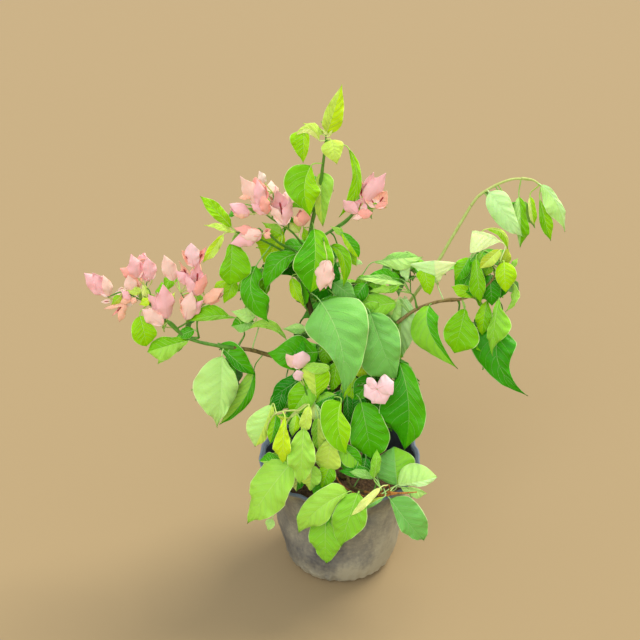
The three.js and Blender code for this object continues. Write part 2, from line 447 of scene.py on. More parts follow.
# %% [markdown]
# ## The blade
# A leaf and a bract are the same thing to a modeller: a thin skin round a midrib. The outline is
# ovate, round at the base and drawn out to a point, or bent to the half widths that one leaf really
# has at its quarters. Each half rises from the midrib and rolls over towards its edge, the edge
# waves, and the skin puffs up between the side veins. The skin has two faces and a real thickness,
# so it shades right from both sides, and ribs are fine tubes laid on it.

# %% The blade
THICKNESS = 0.4
NARROWEST = 0.25
FINE_SIDE = (0.0, 0.03, 0.14, 0.28, 0.42, 0.56, 0.7, 0.83, 0.92, 0.965, 1.0)
COARSE_SIDE = (0.0, 0.06, 0.36, 0.66, 0.9, 1.0)
QUARTERS = (0.25, 0.5, 0.75)
# How far a side vein runs forward on its way out, and how far it stands off the skin, as shares of
# the blade's length. Without the second the veins of a long leaf would dip under its skin.
VEIN_LEAN = 0.24
VEIN_LIFT = 0.0016


class Blade:
    """The surface of one leaf or bract, which can be asked for points anywhere on it."""

    def __init__(self, base, via, tip, facing, width, dice, **shape):
        self.base, self.via, self.tip = (np.asarray(p, float) for p in (base, via, tip))
        self.facing = np.asarray(facing, float)
        self.length = np.linalg.norm(self.tip - self.base)
        self.half = width / 2
        self.fold = math.radians(shape.get("fold", dice.uniform(6, 24)))
        self.roll_over = math.radians(shape.get("roll_over", dice.uniform(-62, -18)))
        self.wave = shape.get("wave", dice.uniform(0.025, 0.06)) * self.length
        self.waves = dice.uniform(1.4, 2.9)
        self.shift = dice.uniform(0, 2 * math.pi, 4)
        self.quilt = shape.get("quilt", 0.013) * self.length
        self.twist = math.radians(shape.get("twist", dice.uniform(-20, 20)))
        self.widest = shape.get("widest", dice.uniform(0.32, 0.42))
        self.round_base = shape.get("round_base", dice.uniform(0.5, 0.68))
        self.drawn_out = shape.get("drawn_out", dice.uniform(0.55, 0.85))
        self.droop = shape.get("droop", dice.uniform(0.0, 0.07)) * self.length
        self.pairs = shape.get("pairs", 5)
        self.stalked = shape.get("stalked", True)
        self.sides = {}
        for way, side in ((1, "left"), (-1, "right")):
            if side in shape:
                usual = self.usual(np.array(QUARTERS)) * self.half
                self.sides[way] = np.polyfit(QUARTERS, np.array(shape[side]) / usual, 2)

    def usual(self, t):
        """The ovate outline as a share of half the width."""
        v = np.clip(t / self.widest, 0, 1)
        u = np.clip((t - self.widest) / (1 - self.widest), 0, 1)
        towards_base = (1 - (1 - v) ** 2) ** self.round_base
        drawn, blunt = (1 + np.cos(math.pi * u)) / 2, 1 - u**2
        return towards_base * (self.drawn_out * drawn + (1 - self.drawn_out) * blunt)

    def outline(self, t, s):
        """Half the width at each share of the length, for the side that s is on."""
        which = np.where(s > 0, self.shift[2], self.shift[3])
        uneven = 1 + 0.03 * np.sin(8 * t + which) + 0.01 * np.sin(21 * t + 2 * which)
        for way, bend in self.sides.items():
            bent = np.clip(np.polyval(bend, np.clip(t, 0.12, 0.88)), 0.15, 3)
            uneven = np.where(s * way > 0, bent, uneven)
        return np.maximum(self.half * self.usual(t) * uneven, NARROWEST)

    def spot(self, t, s, lift=0.0):
        """Points at shares t of the length and s of the half width, -1 to 1, lifted off the skin."""
        t, s = np.broadcast_arrays(np.asarray(t, float), np.asarray(s, float))
        u = t[..., None]
        mid = (1 - u) ** 2 * self.base + 2 * u * (1 - u) * self.via + u**2 * self.tip
        along = unit(2 * (1 - u) * (self.via - self.base) + 2 * u * (self.tip - self.via))
        side = unit(np.cross(self.facing, along))
        up = np.cross(along, side)
        turn = (self.twist * (t - 0.3))[..., None]
        side, up = side * np.cos(turn) + up * np.sin(turn), up * np.cos(turn) - side * np.sin(turn)
        out = np.abs(s)
        angle = self.fold + self.roll_over * out
        whole = math.sin(self.fold + self.roll_over) - math.sin(self.fold)
        reach = (np.sin(angle) - math.sin(self.fold)) / whole
        rise = (math.cos(self.fold) - np.cos(angle)) / whole
        half = self.outline(t, s)
        which = np.where(s > 0, self.shift[0], self.shift[1])
        ends = np.minimum(1, 4 * (1 - t)) * np.minimum(1, 6 * t)
        ripple = np.sin(2 * math.pi * self.waves * t + which)
        ripple = ripple + 0.3 * np.sin(2 * math.pi * 3.1 * self.waves * t - which)
        ripple = self.wave * out**2 * ripple * ends
        puff = np.cos(2 * math.pi * (self.pairs + 1) * (t - VEIN_LEAN * out))
        puff = self.quilt * puff * 4 * out * (1 - out)
        rise = half * rise + ripple + puff + lift - self.droop * t**3
        return mid + side * (np.sign(s) * half * reach)[..., None] + up * rise[..., None]

    def skin(self, piece, tones, rim, under, rows, cut, foot_tones=()):
        """The two-faced blade: tones for its left and right halves, foot_tones up to shares of it."""
        shares = np.concatenate((-np.array(cut[:0:-1]), cut))
        t = np.linspace(0, 1, rows + 1)
        top = self.spot(t[:, None], shares[None], THICKNESS / 2).reshape(-1, 3)
        low = self.spot(t[:, None], shares[None], -THICKNESS / 2).reshape(-1, 3)
        n, m = rows + 1, len(shares)
        i, j = np.meshgrid(np.arange(n - 1), np.arange(m - 1), indexing="ij")
        a = (i * m + j).ravel()
        front = np.stack((a, a + m, a + m + 1, a + 1), -1)
        ring = np.concatenate((np.arange(m - 1), np.arange(n - 1) * m + m - 1))
        ring = np.concatenate((ring, (n - 1) * m + np.arange(m - 1, 0, -1), np.arange(n - 1, 0, -1) * m))
        after = np.roll(ring, -1)
        wall = np.stack((ring, after, after + n * m, ring + n * m), -1)
        middle = ((shares[:-1] + shares[1:]) / 2)[j].ravel()
        names = np.where(middle > 0, tones[0], tones[1]).astype(object)
        share = (i.ravel() + 0.5) / rows + 0.12 * np.abs(middle)
        for until, tone in foot_tones:
            names[share < until] = tone
        if rim:
            names[np.abs(middle) > (1 + cut[-2]) / 2 - 1e-6] = rim
        names = list(names) + [under] * len(a) + [rim or tones[0]] * len(wall)
        piece.add(np.vstack((top, low)), np.vstack((front, front[:, [0, 3, 2, 1]] + n * m, wall)), names)

    def ribs(self, piece, tone, size, steps=9):
        """Side veins: fine three-sided tubes that run forward from the midrib on both halves."""
        for k in range(self.pairs):
            start = 0.1 + 0.66 * (k / self.pairs) ** 1.1
            for way in (-1, 1):
                out = np.linspace(0.02, 0.86 - 0.03 * k, steps)
                t = start + VEIN_LEAN * out * (1 - 0.25 * start) + 0.1 * out**2
                lift = THICKNESS * 0.5 + size * 0.7 + VEIN_LIFT * self.length
                route = self.spot(np.minimum(t, 0.985), way * out, lift)
                tube(piece, route, np.linspace(size, size * 0.5, steps), 3, tone)


# %% [markdown]
# ## Limbs
# The stem and the boughs follow the same routes as the solids they replace. Bark relief is in the
# mesh: ridges that run lengthwise and wander, a swelling at each joint, and a flare where the stem
# meets the soil. The skin turns from bark to green towards the tips.

# %% Limb routes
STEM_FOOT = 112.4
STEM_ROUTE = [
    (6, -2, STEM_FOOT), (5, -1, 128), (2, 0, 168), (-1, 0, 212), (-7, 0, 240), (-20, 0, 285), (-33, 0, 326),
    (-37, 2, 350), (-35, 4, 390), (-31, 5, 422), (-25, 5, 448), (-22, 5, 470), (-17, 5, 512),
]
LEFT_ROUTE = [
    (-13, 0, 252), (-48, -3, 262), (-79, -5, 274), (-97, -10, 283), (-129, -15, 291), (-160, -15, 301),
    (-183, -15, 324),
]
RIGHT_ROUTE = [
    (-8, 0, 246), (6, 5, 268), (26, 8, 286), (56, 11, 302), (76, 15, 316), (99, 15, 326), (122, 10, 332),
    (140, 4, 344),
]
RISE_ROUTE = [
    (2, 0, 172), (8, 14, 206), (32, 38, 245), (66, 62, 285), (101, 80, 332), (118, 90, 360), (138, 98, 396),
]
SWEEP_ROUTE = [(138.4, 98, 396.8), (147, 100, 408), (164, 100, 420), (182, 100, 427), (200, 100, 426)]
FRONT_ROUTE = [
    (0, 0, 208), (-8, -16, 226), (-27, -40, 242), (-46, -60, 241), (-56, -72, 236), (-62, -80, 226),
]
LOW_ROUTE = [(5, -3, 120), (7, -20, 125), (12, -45, 129), (40, -80, 147), (56, -88, 155)]
UPPER_LEFT_ROUTE = [(-36, 4, 382), (-50, 2, 394), (-64, -2, 404), (-76, -5, 418)]
UPPER_RIGHT_ROUTE = [(-33, 5, 400), (-18, 8, 408), (2, 11, 422), (16, 12, 436)]

# Each limb: its route, its radius at foot and tip, and its finishes from foot to tip, each with the
# share of the way where it begins
LIMBS = {
    "main_stem": (STEM_ROUTE, 4.6, 1.2, [(0, "bark"), (0.36, "bark_dark"), (0.7, "stem")]),
    "left_bough": (LEFT_ROUTE, 2.6, 1.4, [(0, "bark"), (0.56, "stem")]),
    "right_bough": (RIGHT_ROUTE, 2.4, 1.3, [(0, "bark"), (0.3, "bark_pale")]),
    "arching_bough_rise": (RISE_ROUTE, 2.3, 1.6, [(0, "bark"), (0.3, "stem"), (0.45, "stem_pale")]),
    "arching_bough_sweep": (SWEEP_ROUTE, 1.6, 1.1, [(0, "stem_pale")]),
    "front_shoot": (FRONT_ROUTE, 1.9, 1.1, [(0, "stem"), (0.4, "stem_pale")]),
    "low_shoot": (LOW_ROUTE, 1.9, 1.1, [(0, "bark"), (0.6, "bark_orange")]),
    "upper_left_shoot": (UPPER_LEFT_ROUTE, 1.5, 1.1, [(0, "stem")]),
    "upper_right_shoot": (UPPER_RIGHT_ROUTE, 1.4, 1.1, [(0, "stem")]),
}
LIMB_SLOTS = {"main_stem": "bark", "left_bough": "bark", "right_bough": "bark", "low_shoot": "bark"}
ROOT_FLARE = 3.4
FLARE_HEIGHT = 9.0
JOINT_SPACING = 17.0
LIMB_STEP = 1.6
LIMB_SEED = 100

# %% Grow the limbs
growth = []
pieces = []
for order, (name, (points, foot, tip, tones)) in enumerate(LIMBS.items()):
    dice = np.random.default_rng(LIMB_SEED + order)
    route = smooth_route(points, LIMB_STEP)
    along = np.concatenate(([0], np.cumsum(np.linalg.norm(np.diff(route, axis=0), axis=1))))
    share = along / along[-1]
    radii = foot + (tip - foot) * share
    if name == "main_stem":
        radii = radii + ROOT_FLARE * np.exp(-along / FLARE_HEIGHT)
    joints = np.exp(-(((along + 4) % JOINT_SPACING - 4) / 1.6) ** 2)
    sides = 18 if foot > 2.5 else 12
    turn = np.linspace(0, 2 * math.pi, sides, endpoint=False)[None]
    drift = np.cumsum(dice.normal(0, 0.05, len(route)))[:, None]
    ridges = np.sin(5 * turn + drift * 3) * 0.5 + np.sin(8 * turn - drift * 5 + 1.3) * 0.35
    rough = dice.normal(0, 0.35, (len(route), sides))
    woody = np.where(share < 0.6, 1.0, 0.35)[:, None]
    swell = 0.16 * joints[:, None] * (1 - 0.5 * woody)
    relief = radii[:, None] * (0.075 * woody * (ridges + rough) + swell)
    relief[-1] *= 0.2
    edges = [t for t, _ in tones] + [2.0]
    rings = [next(tone for (_, tone), stop in zip(tones, edges[1:]) if s < stop) for s in share]
    piece = Piece("bark_" + name)
    tube(piece, route, radii, sides, rings, relief)
    if name == "main_stem":
        for spots in piece.spots:
            spots[:, 2] = np.maximum(spots[:, 2], STEM_FOOT)
    piece.make(LIMB_SLOTS.get(name, "young_stem"), [name])
    pieces.append(piece)
    growth.append((route, radii))
print("limbs:", len(growth), "with", sum(p.triangles for p in pieces), "triangles")

# %% [markdown]
# ## Twigs that the picture shows
# Side twigs come next, because leaves need something to hang from. Those that show in the picture
# are given by the pixels they pass and the depth of the limb they leave. All others are grown later
# by a rule.

# %% Shown twigs
# Each twig: the mass it belongs to, its finish, its radius at foot and tip, and the points that it
# passes as (px, py, depth)
SHOWN_TWIGS = [
    ("bracts_left", "stem", 1.3, 0.8,
     [(199, 338, -15), (185, 337, -15), (173, 324, -14), (163, 318, -14), (150, 305, -15),
      (133, 296, -16)]),
    ("bracts_left", "stem", 0.9, 0.7, [(133, 296, -16), (122, 292, -17), (108, 297, -18)]),
    ("bracts_left", "stem", 1.0, 0.7, [(199, 338, -15), (197, 325, -16), (199, 308, -16)]),
    ("bracts_left", "stem", 0.9, 0.7,
     [(178, 328, -14), (187, 322, -16), (190, 313, -17), (186, 303, -16), (181, 293, -15)]),
    ("bracts_left", "stem", 0.8, 0.6, [(150, 305, -15), (150, 292, -14), (146, 287, -12)]),
    ("bracts_upper_left", "stem", 1.2, 0.8, [(302, 244, 3), (294, 234, 0), (287, 228, -2)]),
    ("bracts_upper_left", "stem", 1.3, 0.8, [(300, 262, 2), (283, 251, 0), (259, 239, -4), (236, 232, -6)]),
    ("bracts_upper_left", "stem", 0.9, 0.7, [(287, 228, -2), (272, 219, -4), (262, 211, -5)]),
    ("bracts_upper_left", "stem", 0.8, 0.6, [(272, 219, -4), (274, 206, -2), (273, 193, 0)]),
    ("bracts_upper_right", "stem", 1.1, 0.8,
     [(317, 238, 6), (330, 232, 9), (344, 224, 11), (352, 216, 12)]),
    ("foliage_top", "stem", 1.0, 0.7, [(320, 181, 5), (325, 154, 5), (326, 134, 5)]),
    ("foliage_right", "bark_pale", 1.3, 0.9,
     [(437, 302, 14), (450, 299, 10), (462, 299, 6), (478, 292, 2), (492, 280, 0), (500, 262, 0)]),
    ("foliage_right", "stem", 1.0, 0.7, [(478, 292, 2), (488, 300, 0), (498, 300, -2)]),
    ("foliage_arch_tip", "stem_pale", 1.3, 0.9, [(521, 178, 100), (533, 180, 99), (541, 186, 97)]),
    ("foliage_front_left", "stem_pale", 1.0, 0.7,
     [(290, 418, -78), (299, 411, -76), (285, 411, -80), (275, 414, -82), (269, 422, -82),
      (267, 430, -82)]),
    ("foliage_front_right", "bark_orange", 1.4, 0.6,
     [(387, 492, -84), (395, 493, -88), (404, 493, -90), (417, 492, -92)]),
    ("foliage_front", "bark_orange", 0.9, 0.6,
     [(333, 471, -70), (340, 483, -76), (350, 491, -84), (364, 496, -90)]),
    ("foliage_front_right", "bark_orange", 0.7, 0.5,
     [(380, 494, -84), (384, 488, -88), (389, 485, -89), (390, 494, -86)]),
]

# %% Grow the shown twigs
TWIG_STEP = 2.5
twigs = {}


def twig_piece(mass):
    """The piece that holds a mass's twigs."""
    if mass not in twigs:
        twigs[mass] = Piece("twigs_" + mass)
    return twigs[mass]


def grow_twig(mass, tone, foot, tip, points):
    """A round twig through points, which leaves can then hang from."""
    route = smooth_route(points, TWIG_STEP)
    share = np.linspace(0, 1, len(route))
    radii = foot + (tip - foot) * share
    swell = 0.18 * np.exp(-(((np.arange(len(route)) * TWIG_STEP) % JOINT_SPACING - 4) / 2.0) ** 2)
    tube(twig_piece(mass), route, radii * (1 + swell), 7, tone)
    growth.append((route, radii))


for mass, tone, foot, tip, passed in SHOWN_TWIGS:
    grow_twig(mass, tone, foot, tip, [at(*p) for p in passed])
print("shown twigs:", len(SHOWN_TWIGS))

# %% [markdown]
# ## Leaves that the picture shows
# Each row is one leaf: where its blade begins and ends in the picture, how wide it looks, how deep
# its base is and how much nearer or further its tip. The blade faces the eye unless it is rolled
# about its midrib. A leaf's stalk is left to the rule further down, which finds the nearest twig.

# %% Rows of shown leaves
# (base px, base py, tip px, tip py, width, depth of base, depth of tip - base, tones, options)
# A width is one number, or the half widths at the quarters of the way, left and then right of it.
# Tones are for the same two halves. Where they differ, that is partly the leaf's own tone and
# partly painted light and shade: how light falls on each half of a folded or rolled leaf.
LEAVES = {
    "foliage_top": [
        (327, 132, 342, 84, ((8, 8, 4.5), (12, 10.5, 6)), 4, -3, "straw/yellow", dict(fold=18)),
        (322, 134, 303, 123, 9, 6, 4, "straw", dict(roll=35)),
        (328, 132, 337, 127, 4, 5, 2, "straw", dict(roll=20)),
        (319, 140, 290, 143, 9, 3, -2, "butter/straw", dict(via=(306, 129))),
        (304, 131, 303, 163, ((6, 5.5, 3.5), (14, 10.5, 5)), 3, -6, "acid/lime",
         dict(stalked=False, widest=0.3)),
        (331, 140, 337, 165, ((11, 8.5, 4), (12, 10, 5)), 1, -8, "straw", {}),
        (349, 149, 339, 217, ((3.5, 5, 4), (4, 5.5, 5)), 16, -2, "lime", dict(via=(357, 181), fold=30)),
        (328, 134, 321, 129, 4, 4, 0, "butter", {}),
        (331, 133, 337, 128, 3, 4, 0, "straw", {}),
        (329, 136, 333, 129, 3, 2, -2, "butter", {}),
        (311, 166, 311, 218, ((10, 16, 11), (20, 19, 8)), -2, -20, "lime/bright", dict(via=(304, 190))),
        (322, 172, 323, 228, ((12, 8, 4.5), (6, 6, 5)), 10, -8, "spring/straw", {}),
    ],
    "foliage_leader": [
        (296, 254, 264, 292, ((8, 10, 6), (9, 12.5, 7)), -6, -14, "mid", dict(via=(277, 266))),
        (314, 229, 310, 294, ((15, 19, 14), (12, 21, 17)), -8, -26, "bright/mid", dict(via=(314, 260))),
        (331, 246, 343, 288, ((6, 7, 5), (5, 6, 4)), 0, -12, "bright/lime", dict(via=(344, 258))),
        (342, 233, 359, 258, ((5.5, 7, 6), (4, 5, 4)), 2, -8, "mid/acid", dict(drawn_out=0.2)),
        (349, 249, 357, 267, 10, 4, -4, "lime", dict(roll=20)),
        (356, 261, 363, 264, 5, 4, 0, "mint", {}),
        (325, 250, 318, 303, ((14, 18, 15), (8, 12, 10)), 14, -12, "dim", dict(drawn_out=0.2)),
        (292, 278, 305, 309, 12, -4, -8, "lime/acid", dict(roll=20)),
        (281, 234, 262, 222, 13, 6, 4, "lime/spring", {}),
        (299, 232, 285, 215, 15, 8, 2, "butter/straw", {}),
        (308, 241, 303, 227, 10, 12, 0, "acid", {}),
        (343, 234, 330, 226, 7, 4, 0, "spring", {}),
    ],
    "bracts_upper_left": [
        (231, 227, 200, 196, ((5, 7, 5), (5.5, 7, 5.5)), -6, 2, "lime", dict(roll=10)),
        (231, 231, 204, 225, 7, -6, 0, "straw", dict(roll=25)),
        (223, 235, 202, 264, ((4.5, 5, 3), (4.5, 5, 3)), -8, -6, "straw/yellow", {}),
    ],
    "bracts_left": [
        (121, 296, 111, 305, 9, -18, -3, "olive/lime", {}),
        (141, 291, 125, 291, 9, -14, -2, "straw", {}),
        (147, 297, 143, 281, 8, -12, 2, "butter/straw", {}),
        (149, 300, 139, 305, 9, -17, -3, "yellow", {}),
        (169, 303, 175, 292, 7, -14, 2, "straw", {}),
    ],
    "foliage_upper": [
        (282, 230, 263, 264, ((9, 10, 5), (15, 19, 10)), 10, -4, "yellow/acid", dict(drawn_out=0.3)),
        (232, 243, 229, 286, ((15, 20, 17), (6, 9.5, 11)), -8, -18, "bright", dict(drawn_out=0.3)),
        (234, 280, 224, 304, ((7, 7, 4), (7, 6, 4)), -2, -12, "lime", {}),
        (226, 282, 212, 291, 10, -6, -4, "acid", {}),
        (256, 266, 269, 323, ((8.5, 11, 14), (8.5, 11.5, 9)), -12, -26, "mid", dict(via=(252, 293))),
        (236, 318, 185, 322, ((3, 4.5, 3), (5, 12, 8)), -10, -8, "fresh/bright", dict(via=(212, 316))),
        (255, 317, 231, 311, 15, -8, -2, "pale", {}),
        (254, 322, 231, 326, ((6, 8, 6), (6, 9, 7)), -4, -2, "cool/mid", {}),
        (286, 339, 248, 330, ((3, 4.5, 3), (4, 5, 3)), -10, -4, "spring", dict(via=(266, 324))),
        (306, 329, 282, 329, 11, -8, 0, "cool/pale", {}),
        (345, 300, 320, 300, 9, -2, -4, "mid", {}),
        (366, 283, 351, 305, ((8, 9, 7), (7, 8, 6)), 6, -6, "deep/mid", dict(drawn_out=0.3)),
        (333, 282, 357, 299, 20, 4, -6, "sheen", {}),
        (396, 303, 352, 311, ((10, 12, 8), (10, 13, 9)), 8, -8, "fresh", {}),
        (384, 312, 356, 306, 18, 2, -4, "mid/fresh", {}),
    ],
    "foliage_right_back": [
        (400, 279, 367, 276, ((4, 4, 3), (7, 9, 6)), 20, -4, "mid", {}),
        (402, 284, 356, 277, ((4, 5, 4), (3, 4, 3)), 14, -4, "pale/cool", dict(roll=20)),
        (381, 287, 366, 284, 7, 16, -2, "bright", {}),
        (397, 288, 366, 292, 7, 12, -4, "spring", {}),
        (399, 285, 384, 294, 8, 10, -2, "bright/fresh", {}),
        (366, 277, 354, 283, 8, 18, -2, "bright", {}),
        (374, 262, 423, 257, ((3, 7.5, 4), (6, 11, 8)), 28, -4, "cool/pale", {}),
        (403, 259, 407, 283, ((7, 5, 3), (4, 5, 3)), 26, -6, "mint", {}),
        (437, 284, 434, 261, ((5, 12, 21), (4, 9, 17)), 10, -6, "mint/white",
         dict(widest=0.85, round_base=1.0, drawn_out=0, fold=6)),
        (424, 268, 430, 295, ((10, 8, 5), (9, 7, 6)), 8, -8, "lime", dict(stalked=False, drawn_out=0.2)),
        (398, 299, 389, 324, ((6, 8, 6), (5, 5, 4)), 20, -8, "pale/butter", {}),
        (404, 298, 402, 360, ((13, 13, 7), (12, 11, 6)), 28, -10, "mint/pale", {}),
        (429, 306, 458, 369, ((12, 8, 4), (15, 19, 10)), 6, -26, "mid/fresh", dict(via=(431, 332))),
    ],
    "foliage_middle_right": [
        (321, 302, 343, 398, ((36, 28, 15), (27, 16, 6)), -24, -44, "sheen",
         dict(via=(340, 346), fold=8, pairs=6)),
        (370, 313, 396, 382, ((20, 19, 10), (16, 25, 25)), -8, -28, "sheen", dict(drawn_out=0.3)),
        (399, 362, 403, 453, ((12, 16, 14), (16, 30, 22)), -22, -36, "mid/deep",
         dict(via=(409, 405), pairs=6)),
        (361, 402, 372, 459, ((17, 21, 19), (13, 18, 15)), -38, -22, "mid", dict(via=(366, 431))),
        (376, 449, 364, 467, ((7, 7, 5), (8, 9, 6)), -36, -8, "dim", {}),
        (341, 402, 347, 455, ((5, 12, 8), (19, 17, 11)), -52, -26, "lime/bright",
         dict(via=(337, 427), drawn_out=0.7)),
        (316, 400, 314, 362, ((4, 9, 13), (8, 15, 15)), -44, 8, "straw/lime",
         dict(widest=0.75, drawn_out=0.05)),
        (330, 368, 299, 366, ((6, 7, 4), (4, 4, 3)), -38, -2, "spring", dict(stalked=False)),
        (329, 343, 323, 366, ((8, 9, 6), (8, 7, 4)), -6, -8, "bright", {}),
        (364, 464, 334, 458, ((4, 6, 8), (8, 9, 7)), -34, -10, "mid", {}),
        (352, 376, 350, 410, 22, -20, -6, "lime", {}),
        (337, 362, 331, 393, 18, -26, -4, "bright", {}),
        (361, 396, 353, 422, 18, -28, -4, "dim", {}),
        (362, 358, 361, 382, 18, -14, -4, "yellow", {}),
        (341, 392, 333, 408, 12, -30, -4, "dim", {}),
        (347, 396, 349, 424, ((5, 5, 4), (4, 5, 4)), -30, -6, "dim", {}),
        (372, 376, 352, 402, 22, -20, -10, "mid/deep", {}),
        (392, 396, 372, 412, 18, -26, -6, "deep/dim", {}),
        (326, 415, 331, 451, ((11, 12, 9), (8, 10, 8)), -46, -14, "mid", {}),
    ],
    "foliage_middle_left": [
        (318, 352, 267, 353, ((18, 18, 13), (15, 17, 8)), -16, -8, "mid", dict(drawn_out=0.3)),
        (303, 376, 270, 398, ((6, 8, 6), (8, 9, 7)), -28, -8, "dim", {}),
        (284, 389, 276, 415, ((7, 7, 5), (7, 8, 6)), -34, -8, "dim", {}),
        (312, 383, 290, 415, ((12, 13, 9), (13, 14, 10)), -38, -14, "fresh/bright", {}),
        (335, 395, 312, 405, ((5, 6, 4), (6, 6, 4)), -40, -4, "deep/fresh", {}),
        (315, 404, 316, 423, ((5, 6, 4), (5, 5, 4)), -46, -4, "mint/butter", {}),
        (318, 418, 319, 453, ((7, 8, 6), (6, 6, 4)), -56, -8, "straw/fresh", dict(fold=30)),
    ],
    "foliage_left": [
        (219, 345, 255, 375, ((13, 12, 7), (4, 6.5, 5)), -8, -10, "mid/deep", {}),
        (222, 356, 217, 431, ((14, 16, 5), (25, 26, 12)), -20, -26, "pale", dict(pairs=6)),
        (254, 370, 218, 427, ((5, 7, 4), (10, 12, 8)), -6, -18, "mid/spring", dict(via=(244, 398))),
        (188, 341, 147, 352, ((7, 12, 12), (7, 10, 10)), -16, -8, "spring/bright",
         dict(drawn_out=0.2, wave=0.06)),
        (173, 345, 157, 365, 10, -14, -6, "spring", {}),
        (194, 330, 175, 338, 12, -12, -3, "mid", {}),
        (140, 316, 147, 347, ((9, 12, 11), (11, 13, 10)), -18, -10, "lime",
         dict(widest=0.5, drawn_out=0.1)),
    ],
    "foliage_right": [
        (465, 309, 454, 354, ((11, 20, 17), (12, 16, 12)), 0, -20, "bright",
         dict(widest=0.55, drawn_out=0.0)),
        (487, 301, 482, 337, ((6, 8, 5), (7, 9, 6)), 6, -12, "bright/lime", {}),
        (499, 299, 492, 358, ((11, 15, 4), (4, 6, 5)), -8, -20, "fresh", {}),
        (500, 328, 528, 396, ((19, 11, 4), (25, 14, 6)), 2, -26, "deep", dict(via=(500, 364), wave=0.035)),
        (514, 284, 505, 312, 8, -2, -6, "spring", dict(via=(516, 299), roll=30)),
        (504, 262, 506, 293, ((11, 12, 8), (9, 9, 6)), -6, -12, "acid", {}),
        (500, 250, 479, 269, ((6, 7, 5), (5, 6, 5)), 0, -8, "straw/olive", {}),
        (504, 264, 508, 247, 12, 4, 2, "olive", {}),
        (503, 243, 472, 231, ((5, 14, 20), (2, 3, 2)), 2, 6, "white",
         dict(widest=0.85, round_base=1.0, drawn_out=0, fold=6)),
        (487, 229, 508, 250, ((2, 2.5, 2), (4, 5, 4)), 6, -4, "straw/lime", dict(via=(502, 233))),
        (512, 267, 518, 258, 6, 2, 2, "spring", {}),
        (469, 258, 455, 281, ((6, 8, 6), (8, 9, 5)), 8, -8, "mid/bright", {}),
        (478, 294, 451, 287, ((5, 7, 6), (5, 6, 5)), 4, -4, "lime", {}),
        (476, 258, 481, 304, ((5, 7, 5), (6, 9, 8)), 0, -14, "bright", {}),
        (482, 253, 476, 264, 7, 3, -2, "bright", {}),
        (490, 275, 492, 306, ((9, 10, 8), (7, 8, 7)), 6, -8, "deep", dict(drawn_out=0.3)),
        (489, 265, 486, 276, 11, 8, -2, "lime/bright", {}),
    ],
    "foliage_arch_tip": [
        (489, 192, 524, 238, ((13, 9, 4), (12, 12.5, 8)), 94, -14, "mint", {}),
        (519, 197, 520, 249, ((6, 8, 7), (6, 5, 3)), 98, -10, "bright/pale", {}),
        (530, 197, 534, 226, ((4, 4.5, 3.5), (3, 3.5, 2.5)), 100, -6, "acid/butter", {}),
        (540, 199, 551, 242, ((4, 7, 4.5), (4, 6, 4)), 94, -10, "lime/bright", {}),
        (541, 185, 565, 232, ((4, 4, 3), (10, 13, 7)), 90, -12, "mint/pale", dict(via=(556, 204))),
    ],
    "foliage_front_left": [
        (291, 463, 247, 524, ((17, 20, 13), (22, 19, 10)), -82, -16, "spring", dict(pairs=6)),
        (282, 462, 259, 461, ((2, 3, 2), (6, 9, 7)), -76, 2, "spring/mid", {}),
        (272, 519, 268, 531, 10, -84, -2, "pale", {}),
        (272, 405, 255, 447, ((5, 6, 7), (13, 17, 13)), -66, -14, "straw/pale", dict(drawn_out=0.1)),
        (276, 414, 270, 444, ((6, 6, 4), (5, 6, 4)), -74, -8, "mid/lime", {}),
        (288, 418, 276, 415, 7, -80, -2, "olive/mid", {}),
        (285, 418, 283, 465, ((4, 7.5, 6.5), (6, 10, 7)), -88, -8, "yellow", dict(widest=0.5)),
        (296, 415, 292, 438, ((5, 5.5, 3), (4, 5, 3)), -78, -6, "acid/spring", {}),
        (304, 429, 300, 485, ((11, 14, 8), (12, 14, 8)), -86, -12, "spring", dict(quilt=0.014, wave=0.07)),
        (331, 439, 325, 473, ((8, 12, 13), (10, 13, 12)), -68, -6, "straw", dict(drawn_out=0.1)),
        (339, 442, 363, 467, ((6, 8, 5), (9, 12, 8)), -62, -6, "mid/fresh", {}),
        (309, 406, 303, 435, ((5, 6, 4), (5, 6, 4)), -80, -4, "straw", {}),
    ],
    "foliage_front": [
        (348, 492, 297, 536, ((9, 15, 9), (15, 14, 10)), -94, -10, "spring", dict(via=(318, 508), pairs=6)),
        (358, 493, 341, 548, ((17, 16, 6), (15, 16, 10)), -96, -12, "fresh", {}),
        (327, 508, 326, 566, ((11, 16, 11), (14, 17, 11)), -88, -16, "fresh", dict(drawn_out=0.15)),
        (380, 488, 351, 516, ((3.5, 4, 3), (3.5, 4, 3)), -100, -8, "butter", {}),
        (384, 497, 356, 513, 6, -98, -6, "sheen/olive", {}),
        (312, 465, 310, 492, 21, -78, -6, "spring/straw", {}),
        (330, 465, 322, 489, 19, -72, -6, "bright/lime", {}),
        (353, 452, 346, 474, ((8, 9, 6), (8, 9, 6)), -62, -8, "deep/mid", {}),
        (366, 458, 362, 480, ((7, 8, 5), (7, 8, 5)), -62, -6, "dim/deep", {}),
        (300, 470, 296, 492, ((6, 7, 4), (6, 7, 4)), -68, -6, "deep/butter", {}),
    ],
    "foliage_front_right": [
        (397, 485, 394, 446, ((19, 22, 17), (12, 19, 17)), -66, 20, "sheen/fresh",
         dict(widest=0.5, drawn_out=0.2)),
        (398, 485, 438, 477, ((17, 18, 14), (3, 5, 5)), -74, -4, "pale/mint",
         dict(drawn_out=0.0, widest=0.5)),
        (401, 487, 428, 494, ((2, 3, 2), (5, 7, 6)), -66, 0, "pale", {}),
        (390, 499, 425, 543, ((19, 19, 13), (6, 10, 7)), -86, -12, "sheen", {}),
        (374, 478, 349, 471, ((3, 4, 3), (4, 5, 4)), -78, -4, "cool", {}),
        (374, 478, 377, 449, ((5, 5, 4), (4, 5, 4)), -80, 6, "fresh", {}),
        (373, 474, 338, 471, ((5, 6, 4), (5, 7, 4)), -70, -4, "deep", {}),
    ],
}


